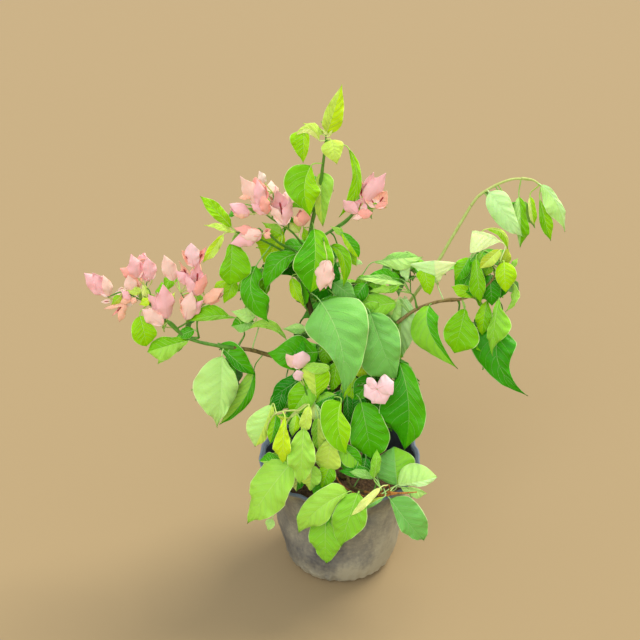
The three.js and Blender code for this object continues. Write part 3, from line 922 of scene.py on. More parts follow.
def pixel_size(point):
    """How many millimetres a pixel covers at a point."""
    return (np.asarray(point) - EYE) @ AHEAD / FOCAL_PX


def blade_from_row(row, dice):
    """The blade that a row of pixels and depths describes."""
    bx, by, tx, ty, width, depth, nearer, tone, options = row
    base, tip = at(bx, by, depth), at(tx, ty, depth + nearer)
    middle = (base + tip) / 2
    along = unit(tip - base)
    to_eye = unit(EYE - middle)
    facing = unit(to_eye - along * (to_eye @ along))
    roll = math.radians(options.get("roll", dice.uniform(-12, 12)))
    facing = facing * math.cos(roll) + np.cross(along, facing) * math.sin(roll)
    arch = options.get("arch", 0.12) * np.linalg.norm(tip - base)
    if "via" in options:
        via = at(*options["via"], depth + nearer / 2)
        via = 2 * via - middle
    else:
        via = middle
    via = via + facing * arch * 2
    shape = {k: v for k, v in options.items() if k not in ("roll", "arch", "via")}
    scale = pixel_size(middle) / math.cos(roll)
    if isinstance(width, tuple):
        shape["left"], shape["right"] = (tuple(v * scale for v in side) for side in width)
        width = max(width[0]) + max(width[1])
    blade = Blade(base, via, tip, facing, width * scale, dice, **shape)
    return blade, tone.split("/")[0], tone.split("/")[-1]


# %% [markdown]
# ## The branching rule
# A leaf's stalk starts on wood that is already there. The rule looks for the point of all limbs and
# twigs from which the stalk would be short and would run the way the leaf points. If that point is
# too far for a stalk, a twig grows from it towards the leaf first, and later leaves may use it too.
# Leaves are dealt with from the nearest to the furthest, so a spray fills out as a real one does.

# %% The branching rule
STALK = 20.0
LONGEST_STALK = 34.0
LEAF_VEIN = 0.2
MIDRIB_ENDS = (0.06, 0.93)


def nearest_wood(spot, along):
    """The best point of limb or twig for a stalk that ends at spot, and its radius there."""
    best = (1e9, None, None)
    for route, radii in growth:
        off = spot - route
        far = np.linalg.norm(off, axis=1)
        cost = far * (1.25 - 0.35 * (off @ along) / np.maximum(far, 1e-6))
        cost = cost + 0.15 * np.maximum(0, -off[:, 2])
        i = int(np.argmin(cost))
        if cost[i] < best[0]:
            best = (cost[i], route[i], radii[i])
    return best[1], best[2]


def bowed(start, leave, end, arrive, steps):
    """A smooth curve that leaves its start one way and arrives at its end another."""
    reach = np.linalg.norm(end - start) * 0.4
    t = np.linspace(0, 1, steps)[:, None]
    first, second = start + leave * reach, end - arrive * reach
    return (1 - t) ** 3 * start + 3 * t * (1 - t) ** 2 * first + 3 * t**2 * (1 - t) * second + t**3 * end


def stalk_from(mass, base, along, dice):
    """Where a stalk leaves the wood and which way; grows a twig first where none is near."""
    foot, thick = nearest_wood(base, along)
    gap = np.linalg.norm(base - foot)
    towards = unit(base - foot)
    if gap <= LONGEST_STALK:
        return foot, towards
    way = unit(along * 0.8 + towards)
    end = base - way * STALK + dice.normal(0, 1.0, 3)
    rise = unit(towards + np.array((0, 0, 0.5)) + dice.normal(0, 0.2, 3))
    grow_twig(mass, "stem", min(1.3, thick * 0.8), 0.7, bowed(foot, rise, end, way, 7))
    return end, way


def hang(mass, blade, tone, dice):
    """Gives a blade its stalk and midrib, and a twig to hang from where none is near."""
    along = unit(blade.via - blade.base)
    foot, leave = stalk_from(mass, blade.base, along, dice)
    stalk = bowed(foot, leave, blade.base, along, 8)
    rib = blade.spot(np.linspace(*MIDRIB_ENDS, 14), 0.0)
    route = np.vstack((stalk, rib))
    radii = np.concatenate((np.linspace(0.75, 0.62, 8), np.linspace(0.6, 0.2, 14)))
    tube(leaf_piece(mass), route, radii, 5, tone)


leaves = {}


def leaf_piece(mass):
    """The piece that holds a mass's leaves."""
    if mass not in leaves:
        leaves[mass] = Piece("leaves_" + mass)
    return leaves[mass]


def lay_leaf(mass, blade, left, right, dice, fine=True):
    """Adds one whole leaf: two-faced skin, side veins, midrib and stalk. A fine one has a rim too."""
    piece = leaf_piece(mass)
    vein = "vein_" + left
    if fine:
        blade.skin(piece, (left, right), "rim_" + left, "under_" + left, 32, FINE_SIDE)
        blade.ribs(piece, vein, LEAF_VEIN)
    else:
        blade.skin(piece, (left, right), None, "under_" + left, 13, COARSE_SIDE)
        blade.ribs(piece, vein, LEAF_VEIN, 4)
    if blade.stalked:
        hang(mass, blade, vein, dice)
    else:
        rib = blade.spot(np.linspace(0.04, 0.93, 12), 0.0)
        tube(piece, rib, np.linspace(0.55, 0.2, 12), 5, vein)


# %% Lay the shown leaves
LEAF_SEED = 500
shown = []
for order, (mass, rows) in enumerate(LEAVES.items()):
    dice = np.random.default_rng(LEAF_SEED + order)
    for row in rows:
        shown.append((mass, *blade_from_row(row, dice), dice))
wood = np.vstack([route for route, _ in growth])
shown.sort(key=lambda item: np.linalg.norm(wood - item[1].base, axis=1).min())
for mass, blade, left, right, dice in shown:
    lay_leaf(mass, blade, left, right, dice)
print("shown leaves:", len(shown))

# %% [markdown]
# ## Bracts in threes
# Three bracts stand round one stalk like the sides of a lantern, each with a slim flower tube on its
# midrib. Young lanterns are shut, and older ones open and fade. A row gives the base of a lantern
# in the picture and its depth, then each bract that shows: where its tip is, how wide it is, its
# tone, and how far its middle stands out towards the eye. Where fewer than three show, the rest
# stand behind them.

# %% Rows of lanterns
# (base px, base py, depth, [(tip px, tip py, width px, tone, millimetres towards the eye), ...])
LANTERNS = {
    "bracts_left": [
        (110, 296, -18, [(84, 273, 19, "pink", 4), (103, 275, 11, "blush", 5)]),
        (111, 301, -18, [(101, 302, 4, "cream", 1)]),
        (138, 278, -12,
         [(120, 268, 12, "shaded", 4), (131, 254, 15, "pink", 5), (141, 262, 9, "pink", -2)]),
        (152, 280, -12, [(147, 257, 14, "pink", 4)]),
        (133, 293, -15, [(128, 275, 13, "blush", 3)]),
        (131, 299, -20, [(121, 291, 8, "pink", 3), (137, 302, 8, "orange", 3), (120, 303, 7, "orange", 2)]),
        (125, 304, -20,
         [(104, 309, 5, "orange", 2), (119, 322, 8, "orange", 3), (112, 316, 4, "shaded", -2)]),
        (167, 319, -18,
         [(163, 284, 19, "pink", 5), (148, 294, 14, "pink", 2), (157, 292, 12, "blush", -3)]),
        (163, 325, -21, [(142, 309, 17, "blush", 4), (152, 310, 9, "orange", -2)]),
        (174, 281, -12, [(164, 255, 15, "blush", 4)]),
        (191, 284, -15, [(176, 271, 12, "pink", 4), (179, 261, 6, "orange", -2)]),
        (194, 267, -11,
         [(191, 243, 15, "petal", 4), (182, 250, 9, "orange", -2), (206, 247, 8, "shaded", -2)]),
        (196, 296, -19,
         [(198, 262, 14, "pink", -5), (186, 275, 11, "pink", 3), (206, 274, 12, "shaded", 3)]),
        (186, 320, -20,
         [(192, 291, 17, "blush", 5), (203, 300, 12, "pink", 2), (181, 294, 7, "orange", -2)]),
        (203, 302, -16, [(224, 288, 12, "orange", 4), (220, 300, 9, "shaded", 2)]),
    ],
    "bracts_upper_left": [
        (262, 208, -5,
         [(240, 176, 16, "blush", 3), (257, 179, 13, "pink", 5), (266, 186, 8, "shaded", -3)]),
        (265, 183, 0, [(259, 171, 8, "cream", 3)]),
        (251, 196, -6, [(239, 198, 6, "orange", 2)]),
        (250, 214, -9, [(229, 204, 13, "pink", 4), (233, 214, 9, "orange", 5)]),
        (268, 214, -7, [(251, 204, 11, "pink", 3), (261, 195, 12, "shaded", 4)]),
        (285, 226, -6, [(277, 190, 20, "pink", -5), (290, 199, 12, "pink", 2), (270, 205, 10, "blush", 2)]),
        (303, 226, -2, [(306, 206, 13, "shaded", 4), (294, 216, 10, "orange", 3)]),
        (262, 234, -11,
         [(230, 244, 16, "pink", 5), (234, 228, 12, "shaded", 2), (240, 236, 13, "blush", 6)]),
        (263, 234, -9, [(271, 229, 6, "orange", -2), (271, 238, 6, "orange", 2)]),
    ],
    "bracts_upper_right": [
        (363, 203, 11, [(386, 173, 17, "pink", 4), (360, 175, 7, "shaded", -2)]),
        (375, 208, 9,
         [(387, 191, 17, "orange", -3), (370, 190, 15, "orange", -4), (388, 203, 8, "shaded", 2)]),
        (357, 214, 7, [(343, 200, 13, "pink", 2), (363, 198, 15, "pink", -4), (373, 213, 11, "shaded", 3),
                       (358, 221, 12, "blush", 4)]),
    ],
    "foliage_leader": [
        (327, 260, -34, [(320, 291, 19, "blush", 5), (331, 289, 13, "blush", 2)]),
    ],
    "foliage_middle_left": [
        (299, 369, -44, [(286, 354, 15, "blush", 2), (303, 351, 19, "petal", 4)]),
        (300, 381, -44, [(297, 370, 11, "petal", 3)]),
    ],
    "foliage_middle_right": [
        (377, 389, -56, [(367, 378, 9, "petal", 1), (364, 396, 19, "petal", 2), (385, 404, 23, "petal", 3),
                       (394, 382, 22, "petal", 4)]),
    ],
}

# %% Lay the lanterns
# Bracts are ovate and drawn out to a point, but full-blown ones, of the petal tone, are rounder.
# From the foot up to each share in FOOT_TONES, a bract has the tone that stands beside it.
BRACT_SHAPE = dict(
    fold=8, wave=0.055, quilt=0.012, widest=0.48, round_base=0.46, drawn_out=0.3, twist=0, pairs=4, droop=0
)
ROUND_SHAPE = dict(BRACT_SHAPE, widest=0.6, drawn_out=0.0)
FOOT_TONES = {
    "pink": ((0.5, "blush"), (0.3, "cream")),
    "blush": ((0.3, "cream"),),
    "petal": ((0.3, "cream"),),
    "orange": ((0.35, "blush"),),
    "shaded": ((0.35, "orange"),),
}
BRACT_SIDE = (0.0, 0.3, 0.6, 0.85, 1.0)
BRACT_VEIN = 0.16
TUBE_SWELL = np.array((0.5, 0.8, 0.95, 0.95, 0.85, 0.75, 0.8, 1.0, 0.5))
LANTERN_SEED = 800
bracts = {}


def bract_piece(mass):
    """The piece that holds a mass's bracts and flower tubes."""
    if mass not in bracts:
        bracts[mass] = Piece("bracts_" + mass)
    return bracts[mass]


def lay_bract(mass, base, tip, width, out, tone, dice):
    """One bract that bulges outward, with its veins and the flower tube on its inner side."""
    piece = bract_piece(mass)
    length = np.linalg.norm(tip - base)
    bulge = np.linalg.norm(out)
    via = (base + tip) / 2 + out * 1.6
    inward = -unit(out)
    shape = ROUND_SHAPE if tone == "petal" else BRACT_SHAPE
    blade = Blade(base, via, tip, inward, width, dice, roll_over=min(50.0, 14 + 5 * bulge), **shape)
    blade.skin(piece, (tone, tone), None, tone, 16, BRACT_SIDE, FOOT_TONES.get(tone, ()))
    blade.ribs(piece, "bract_vein", BRACT_VEIN, 5)
    rib = blade.spot(np.linspace(0.03, 0.94, 10), 0.0)
    tube(piece, rib, np.linspace(0.36, 0.14, 10), 4, "bract_vein")
    flower = blade.spot(np.linspace(0.1, 0.62, 9), 0.0, 1.1)
    tube(piece, flower, TUBE_SWELL * min(1.0, length / 26), 6, ["tube_foot"] * 2 + ["tube"] * 7)


def lay_lantern_stalk(mass, base, axis, dice):
    """The stalk that carries a lantern, from the nearest wood to the bracts' base."""
    foot, leave = stalk_from(mass, base, axis, dice)
    route = bowed(foot, leave, base + axis * 0.8, axis, 9)
    tube(twig_piece(mass), route, np.linspace(0.7, 0.55, 9), 6, "stem_pale")


def lay_lantern(mass, base, petals, dice):
    """Bracts round one base, made up to three, and the stalk that carries them."""
    petals = list(petals)
    to_eye = unit(EYE - base)
    axis = unit(np.mean([tip - base for tip, *_ in petals], axis=0) + to_eye * 2)
    while len(petals) < 3:
        tip, width, tone, lean = petals[0]
        middle = base + axis * np.linalg.norm(tip - base) * 0.9
        behind = -lean if len(petals) == 1 else -0.6 * lean
        petals.append((middle - to_eye * 2, width * 0.8, tone, behind))
    for tip, width, tone, lean in petals:
        along = unit(tip - base)
        out = unit(to_eye - along * (to_eye @ along)) * lean
        out = out + unit(tip - base - axis * ((tip - base) @ axis)) * 1.2
        lay_bract(mass, base, tip, width, out, tone, dice)
    lay_lantern_stalk(mass, base, axis, dice)


lantern_spots = []
for order, (mass, rows) in enumerate(LANTERNS.items()):
    dice = np.random.default_rng(LANTERN_SEED + order)
    for bx, by, depth, seen in rows:
        base = at(bx, by, depth)
        size = pixel_size(base)
        petals = []
        for tx, ty, width, tone, lean in seen:
            tip = at(tx, ty, depth - lean * 0.4)
            petals.append((tip, width * size, tone, lean))
            lantern_spots.append((base, tip, width * size))
        lay_lantern(mass, base, petals, dice)
print("lanterns:", sum(len(rows) for rows in LANTERNS.values()))

# %% [markdown]
# ## The side that the picture hides
# A bush is as full behind as in front, and the picture shows only its front. The same rule grows the
# rest from seeded draws. Spots are tried in each mass, more of them towards the back. A leaf on one
# points out of its mass and down, faces the sky, and hangs from the nearest wood like the others. A
# map of what the shown leaves and lanterns cover keeps the picture's gaps open: a grown leaf stays
# only where they, or the dim inside of the crown, hide it and its stalk from the camera.

# %% Map of what the shown leaves and lanterns cover
cover = np.full((PICTURE, PICTURE), np.inf)
# The dim inside of the crown, as outlines in pixels
INSIDE = [
    [(300, 300), (330, 290), (360, 285), (395, 300), (396, 330), (400, 362), (416, 380), (418, 405),
     (406, 440), (398, 466), (330, 486), (292, 478), (276, 440), (270, 410), (278, 388), (270, 362),
     (300, 340)],
    [(285, 236), (342, 240), (345, 285), (300, 296), (280, 262)],
    [(457, 257), (488, 238), (508, 262), (503, 298), (480, 298), (457, 288)],
    [(374, 272), (418, 258), (426, 270), (406, 298), (380, 310), (362, 298)],
]


def cover_with(points):
    """Marks pixels that points cover, three by three, with the distance of the nearest."""
    px, py, far = seen_at(points.reshape(-1, 3))
    for dx in (-1, 0, 1):
        for dy in (-1, 0, 1):
            x, y = (px + dx).astype(int), (py + dy).astype(int)
            fits = (x >= 0) & (x < PICTURE) & (y >= 0) & (y < PICTURE)
            np.minimum.at(cover, (y[fits], x[fits]), far[fits])


def inside(px, py, corners):
    """Which pixels lie inside a polygon."""
    odd = np.zeros(px.shape, bool)
    for (x0, y0), (x1, y1) in zip(corners, corners[1:] + corners[:1]):
        crosses = (y0 > py) != (y1 > py)
        slope = (x1 - x0) / (y1 - y0) if y1 != y0 else 0.0
        odd ^= crosses & (px < x0 + slope * (py - y0))
    return odd


def hidden_share(points):
    """The share of points that the camera can't see, or sees only in the dim inside of the crown."""
    px, py, far = seen_at(np.asarray(points).reshape(-1, 3))
    x, y = np.clip(px.astype(int), 0, PICTURE - 1), np.clip(py.astype(int), 0, PICTURE - 1)
    behind = far > cover[y, x] + 2
    clear = ~np.isfinite(cover[y, x])
    dim = np.zeros(px.shape, bool)
    for corners in INSIDE:
        dim |= inside(px, py, corners)
    return float(np.mean(behind | (clear & dim)))


grid_t, grid_s = np.linspace(0, 1, 40)[:, None], np.linspace(-1, 1, 25)[None]
for _, blade, *_ in shown:
    cover_with(blade.spot(grid_t, grid_s))
for base, tip, width in lantern_spots:
    ball = base + (tip - base) * np.linspace(0, 1, 12)[:, None, None]
    turn = np.linspace(0, 2 * math.pi, 16)[None, :, None]
    ball = ball + width * 0.32 * (ACROSS * np.cos(turn) + UPWARD * np.sin(turn))
    cover_with(ball)
print("pixels covered by shown leaves and lanterns:", int(np.isfinite(cover).sum()))

# %% Masses to fill
# Each mass: its centre and reach in space, how many leaves to grow, their lengths and the tones
FILL = {
    "foliage_top": ((-16, 6, 505), (22, 22, 50), 9, (24, 38), "bright lime"),
    "foliage_leader": ((-20, 8, 446), (30, 26, 32), 12, (32, 50), "mid bright"),
    "bracts_upper_left": ((-92, 2, 427), (44, 26, 32), 8, (22, 34), "bright mid"),
    "bracts_upper_right": ((26, 14, 440), (22, 18, 26), 5, (20, 30), "bright"),
    "foliage_upper": ((-48, 2, 360), (70, 42, 44), 20, (36, 60), "deep mid bright"),
    "bracts_left": ((-188, -10, 342), (58, 26, 32), 6, (20, 30), "lime bright"),
    "foliage_left": ((-142, -16, 270), (52, 32, 54), 14, (34, 54), "mid deep bright"),
    "foliage_middle_left": ((-46, -20, 258), (44, 44, 64), 18, (38, 60), "deep mid"),
    "foliage_middle_right": ((42, -12, 256), (46, 46, 72), 20, (40, 64), "deep mid"),
    "foliage_right_back": ((78, 36, 350), (42, 28, 30), 14, (30, 50), "mid cool bright"),
    "foliage_right": ((140, 6, 326), (50, 30, 74), 20, (30, 52), "mid bright deep"),
    "foliage_arch_tip": ((198, 98, 392), (34, 20, 28), 8, (26, 42), "bright mid"),
    "foliage_front_left": ((-68, -76, 182), (30, 26, 50), 8, (26, 42), "lime bright"),
    "foliage_front": ((-8, -88, 128), (38, 22, 44), 7, (26, 44), "mid bright"),
    "foliage_front_right": ((66, -74, 148), (38, 28, 38), 8, (26, 44), "mid deep"),
    "foliage_back_upper": ((2, 50, 290), (58, 36, 48), 24, (38, 62), "mid deep bright"),
    "foliage_back_lower": ((-2, 76, 204), (60, 34, 52), 24, (38, 62), "mid bright deep"),
    "foliage_back_right": ((52, 62, 258), (30, 28, 46), 14, (34, 54), "mid bright"),
    "foliage_back_left": ((-80, 40, 340), (32, 30, 42), 14, (32, 52), "mid bright"),
}
HEART = np.array((-10.0, 10.0))
LEAF_SPACING = 12.0
# Leaves keep this far from the axis of the bag below this height, and above the floor
BAG_KEEP_OUT = 92
BAG_CLEAR_ABOVE = 146
LOWEST_LEAF = 20
# Shares of a leaf, a stalk and a lantern that have to be out of the camera's sight
LEAF_HIDDEN = 0.96
STALK_HIDDEN = 0.85
LANTERN_HIDDEN = 0.95
TRIES = 60
GROWN_SEED = 1200
grown_middles = []


def clear_of_bag(blade):
    """Whether a blade stays outside the bag and its soil, and above the floor."""
    points = blade.spot(grid_t[::6], grid_s[:, ::6]).reshape(-1, 3)
    out = np.hypot(points[:, 0], points[:, 1])
    inside_wall = (out < BAG_KEEP_OUT) & (points[:, 2] < BAG_CLEAR_ABOVE)
    return not inside_wall.any() and points[:, 2].min() > LOWEST_LEAF


def grown_leaf(spot, centre, length, dice):
    """A blade through a spot that points out of its mass and down, and faces the sky."""
    from_mass = unit(spot - centre)
    from_heart = unit(np.append(centre[:2] + (spot - centre)[:2] - HEART, 0))
    out = unit(from_mass + 0.6 * from_heart + dice.normal(0, 0.35, 3))
    along = unit(out * (1, 1, 0.4) + np.array((0, 0, -dice.uniform(0.0, 1.0))) + dice.normal(0, 0.2, 3))
    facing = np.array((0, 0, 0.8)) + out * 0.6 + dice.normal(0, 0.35, 3)
    facing = unit(facing - along * (facing @ along))
    base, tip = spot - along * length * 0.5, spot + along * length * 0.5
    via = spot + facing * length * dice.uniform(0.08, 0.22)
    return Blade(base, via, tip, facing, length * dice.uniform(0.56, 0.72), dice)


def stalk_shows(blade):
    """Whether the way from the nearest wood to a blade would cross a gap of the picture."""
    along = unit(blade.via - blade.base)
    foot, _ = nearest_wood(blade.base, along)
    way = bowed(foot, unit(blade.base - foot), blade.base, along, 16)
    return hidden_share(way[2:]) < STALK_HIDDEN


def fill_mass(centre, reach, wanted, lengths, dice):
    """Tries seeded spots in one mass and keeps the leaves that the picture leaves room for."""
    kept = []
    for _ in range(wanted * TRIES):
        if len(kept) == wanted:
            break
        aim = unit(dice.normal(0, 1, 3) + np.array((0, 0.5, 0.0)))
        spot = centre + aim * reach * dice.uniform(0.45, 0.9)
        blade = grown_leaf(spot, centre, dice.uniform(*lengths), dice)
        ends = np.array((blade.base, blade.tip))
        room = (np.linalg.norm((ends - centre) / (reach * 1.25), axis=1) < 1).all() and clear_of_bag(blade)
        room = room and all(np.linalg.norm(spot - other) > LEAF_SPACING for other in grown_middles)
        room = room and hidden_share(blade.spot(grid_t[::4], grid_s[:, ::4])) > LEAF_HIDDEN
        if room and not stalk_shows(blade):
            kept.append(blade)
            grown_middles.append(spot)
    return kept


# %% Fill the masses
total = 0
for order, (mass, (centre, reach, wanted, lengths, tones)) in enumerate(FILL.items()):
    dice = np.random.default_rng(GROWN_SEED + order)
    tones = tones.split()
    blades = fill_mass(np.array(centre, float), np.array(reach, float), wanted, lengths, dice)
    wood = np.vstack([route for route, _ in growth])
    blades.sort(key=lambda blade: np.linalg.norm(wood - blade.base, axis=1).min())
    for blade in blades:
        tone = tones[dice.integers(len(tones))]
        lay_leaf(mass, blade, tone, tone, dice, fine=False)
    print(mass, "grown leaves:", len(blades), "of", wanted)
    total += len(blades)
print("grown leaves:", total)

# %% Lanterns on the hidden side
BACK_LANTERNS = {"bracts_left": 9, "bracts_upper_left": 6, "bracts_upper_right": 3}
HIDDEN_SEED = 1500
count = 0
for order, (mass, wanted) in enumerate(BACK_LANTERNS.items()):
    dice = np.random.default_rng(HIDDEN_SEED + order)
    starts = [(at(bx, by, depth), [p[3] for p in seen]) for bx, by, depth, seen in LANTERNS[mass]]
    grown = 0
    for _ in range(wanted * TRIES):
        if grown == wanted:
            break
        base, tones = starts[dice.integers(len(starts))]
        base = base + (0, dice.uniform(14, 34), 0) + dice.normal(0, 7, 3)
        axis = unit(dice.normal(0, 0.5, 3) + np.array((-0.2, 0.6, 0.8)))
        length = dice.uniform(20, 28)
        line = base + axis * np.linspace(0, 1, 6)[:, None] * length
        room = all(np.linalg.norm(line[3] - other) > 1.3 * LEAF_SPACING for other in grown_middles)
        body = line[None] + length * ACROSS * np.array((-0.3, 0, 0.3))[:, None, None]
        if not room or hidden_share(body) < LANTERN_HIDDEN:
            continue
        first = unit(np.cross(axis, (0.2, -0.9, 0.35)))
        for k in range(3):
            angle = 2.1 * k + dice.uniform(0, 1)
            out = first * math.cos(angle) + np.cross(axis, first) * math.sin(angle)
            tip = base + axis * length * dice.uniform(0.85, 1.0) + out * dice.uniform(0, 5)
            bulge = out * dice.uniform(3, 5)
            lay_bract(mass, base, tip, length * 0.68, bulge, tones[k % len(tones)], dice)
        lay_lantern_stalk(mass, base, axis, dice)
        grown_middles.append(line[3])
        grown += 1
    count += grown
print("lanterns on the hidden side:", count)

# %% Make the plant's pieces
YOUNG_MASSES = ("foliage_top", "foliage_front_left")
made = 0
for mass in sorted(set(leaves) | set(twigs) | set(bracts)):
    leaf_slot = "young_leaf" if mass in YOUNG_MASSES else "leaf"
    for holder, slot in ((leaves, leaf_slot), (twigs, "young_stem"), (bracts, "bract")):
        if mass in holder:
            holder[mass].make(slot, [mass])
            made += holder[mass].triangles
            print(holder[mass].name, holder[mass].triangles, "triangles")
print("plant:", made, "triangles")

# %% [markdown]
# ## The nursery bag
# The pot is a bag of black polyethylene film, filled with soil and standing on its gathered foot. Its
# wall flares at the top, where the soil stops and the film is turned over into a cuff. Film that is
# full of soil bulges and buckles: broad dents on the body, creases that run down from the cuff, and
# pleats at the foot. It is turned like a lathe profile, and each ring is then pushed in and out.

# %% Bag shape
# The side's radius at each height, the film's thickness (thicker than the real film, so that the
# wall has two faces), how far the rim strays from round, and how deep the cuff and its lip are
BAG_HEIGHT = 140.0
BAG_SIDE = [
    (49, 0), (57, 4), (63, 16), (68, 36), (71.5, 62), (74, 90), (77, 112), (81.5, 126), (84.5, 135),
    (86, 140),
]
FILM = 2.2
SLOUCH = 0.03
CUFF = 12.0
LIP = 3.5
BAG_TURNS = 224
FILM_SEED = 31
LIP_SEED = 5


def slouched(turn, height):
    """How far the bag strays from round at a turn and a height, as a share of its radius."""
    stray = 0.6 * np.sin(3 * turn + 3.9) + 0.4 * np.sin(5 * turn + 5.2)
    return 1 + SLOUCH * (np.maximum(height, 0) / BAG_HEIGHT) ** 2 * stray


def ripples(dice, turn, height, waves, coarse, tall):
    """A wandering height field that closes round the bag: a sum of waves with whole numbers of turns."""
    out = np.zeros(np.broadcast(turn, height).shape)
    for _ in range(waves):
        times = dice.integers(*coarse)
        rate = dice.normal(0, 1 / tall)
        out += np.sin(times * turn + rate * height * 2 * math.pi + dice.uniform(0, 6.28)) / math.sqrt(waves)
    return out


def ease(x, low, high):
    """0 below low, 1 above high, and a smooth step between."""
    t = np.clip((x - low) / (high - low), 0, 1)
    return t * t * (3 - 2 * t)


def dent(turn, height, where, level, wide, tall):
    """A rounded hollow round one turn, in degrees, and one height."""
    off = np.angle(np.exp(1j * (turn - math.radians(where)))) / math.radians(wide)
    return np.exp(-(off**2) - ((height - level) / tall) ** 2)


def film_push(turn, height):
    """How far the film stands out, in millimetres, at each turn and height."""
    dice = np.random.default_rng(FILM_SEED)
    broad = ripples(dice, turn, height, 9, (2, 7), 90)
    creases = ripples(dice, turn, height, 8, (9, 26), 300)
    fine = ripples(dice, turn, height, 12, (14, 48), 26)
    foot = ripples(dice, turn, height, 7, (16, 40), 400)
    out = 1.3 * broad * ease(height, 4, 40)
    depth = 0.5 + 0.5 * ease(height, 95, 125) - 0.4 * ease(height, 128, 138)
    out = out + depth * np.sign(creases) * np.abs(creases) ** 1.3 * ease(height, 20, 60) * 0.8
    out = out + 0.26 * fine * ease(height, 2, 10)
    out = out + 0.9 * foot * ease(height, 0.5, 5) * (1 - ease(height, 8, 24))
    out = out - 6.0 * dent(turn, height, -122, 122, 9, 9) - 7.0 * dent(turn, height, -70, 108, 9, 10)
    out = out - 3.0 * dent(turn, height, -30, 70, 16, 18) - 2.5 * dent(turn, height, 60, 95, 14, 20)
    out = out + 0.9 * np.exp(-(((height - 11 - 3 * np.sin(2 * turn)) / 1.3) ** 2))
    out = out - 3.0 * dent(turn, height, 150, 60, 18, 16) - 1.5 * dent(turn, height, -95, 8, 4, 6)
    return out


# %% Rings of the bag
heights = np.concatenate((np.linspace(0, 6, 6), np.linspace(8, 120, 46), np.linspace(122, 139, 16)))
side_z = np.array([z for _, z in BAG_SIDE], float)
side_r = np.array([r for r, _ in BAG_SIDE], float)
wall = np.interp(heights, side_z, side_r)
wall = np.convolve(np.pad(wall, 2, mode="edge"), (0.1, 0.2, 0.4, 0.2, 0.1), "valid")
cuff = ease(heights, BAG_HEIGHT - CUFF - 1.0, BAG_HEIGHT - CUFF + 0.6) * 1.3
cuff = cuff + ease(heights, 134, 138) * 0.8
cuff = cuff - 0.9 * np.exp(-(((heights - BAG_HEIGHT + CUFF + 1.5) / 1.6) ** 2))
lip = [(0.35, 0.7), (0.0, 1.0), (-0.9, 1.2), (-1.9, 1.0), (-FILM, 0.4)]
outer = [(r + c, z, 1.0) for r, c, z in zip(wall, cuff, heights)]
crown = [(outer[-1][0] + dr, heights[-1] + dz, 1.0) for dr, dz in lip]
inner = [(r - FILM, z, 1.0) for r, z in zip(wall[::-1], heights[::-1]) if z > FILM + 1]
profile = [(0.01, 0, 0), (28, 0, 0)] + outer + crown + inner + [(50, FILM + 1, 0), (0.01, FILM + 1, 0)]
turn = np.linspace(0, 2 * math.pi, BAG_TURNS, endpoint=False)[None]
level = np.array([z for _, z, _ in profile])[:, None]
ring_heights = level[:-1, 0]
radius = np.array([r for r, _, _ in profile])[:, None] * slouched(turn, level)
radius = radius + film_push(turn, level) * np.array([w for _, _, w in profile])[:, None]
dice = np.random.default_rng(LIP_SEED)
sag = 1.2 * ripples(dice, turn, level * 0, 5, (2, 6), 300) * ease(level, 120, 140)
lift = level + sag - 1.2 * ease(level, 120, 140)
spots = np.stack((radius * np.cos(turn), radius * np.sin(turn), np.broadcast_to(lift, radius.shape)), -1)
print("bag rings:", len(profile), "of", BAG_TURNS, "points")

# %% [markdown]
# ## Black polyethylene film
# Blown polyethylene film is smooth and nearly black. On a nursery bag most of that is under dust and
# dried mud, so the outside reads as a mottled grey beige: more dust low down, paler towards the right,
# which is partly dust and partly painted light from the key on that side, and bare dark film in
# patches. Clean film shines, and dust doesn't, so one mask sets both.

# %% Dusty film
# The blotches are about 42 mm across and drawn out downwards, and the specks of mud 5 mm
FILM_IOR = 1.51
finishes["film"], tree, place = new_finish("film_polyethylene_dusty")
parts = add_node(tree, "ShaderNodeSeparateXYZ", {"Vector": place})
streaks = add_node(
    tree, "ShaderNodeMapping", {"Vector": place, "Scale": (1.0, 1.0, 0.45)}, vector_type="POINT"
)
blotch = add_node(
    tree,
    "ShaderNodeTexNoise",
    {"Vector": streaks.outputs["Vector"], "Scale": per_mm(42), "Detail": 4.0, "Roughness": 0.55},
)
specks = add_node(
    tree,
    "ShaderNodeTexNoise",
    {"Vector": place, "Scale": per_mm(5), "Detail": 4.0, "Roughness": 0.7},
)
low_dust = add_node(
    tree,
    "ShaderNodeMapRange",
    {"Value": parts.outputs["Z"], "From Min": 0.0, "From Max": 0.045, "To Min": 0.3, "To Max": 0.0},
)
# Paler towards the right side: partly dust, partly painted light from the key sun on that side.
right_dust_and_light = add_node(
    tree,
    "ShaderNodeMapRange",
    {"Value": parts.outputs["X"], "From Min": -0.03, "From Max": 0.07, "To Min": 0.0, "To Max": 0.08},
)
speck_part = add_node(
    tree, "ShaderNodeMath", {0: specks.outputs["Fac"], 1: 0.35, 2: -0.175}, operation="MULTIPLY_ADD"
)
dust = blotch.outputs["Fac"]
for more in (speck_part.outputs["Value"], low_dust.outputs["Result"], right_dust_and_light.outputs["Result"]):
    dust = add_node(tree, "ShaderNodeMath", {0: dust, 1: more}, operation="ADD").outputs["Value"]
colour = add_node(tree, "ShaderNodeValToRGB", {"Fac": dust})
for position, code in ((0.30, "3a3d42"), (0.42, "646564"), (0.55, "868478"), (0.72, "aca891")):
    stop = colour.color_ramp.elements[0] if position == 0.30 else colour.color_ramp.elements.new(position)
    stop.position = position
    stop.color = linear(code)
colour.color_ramp.elements.remove(colour.color_ramp.elements[-1])
shine = add_node(
    tree,
    "ShaderNodeMapRange",
    {"Value": dust, "From Min": 0.3, "From Max": 0.6, "To Min": 0.38, "To Max": 0.78},
)
bump = add_node(tree, "ShaderNodeBump", {"Height": dust, "Strength": 0.5, "Distance": 0.8 * MM})
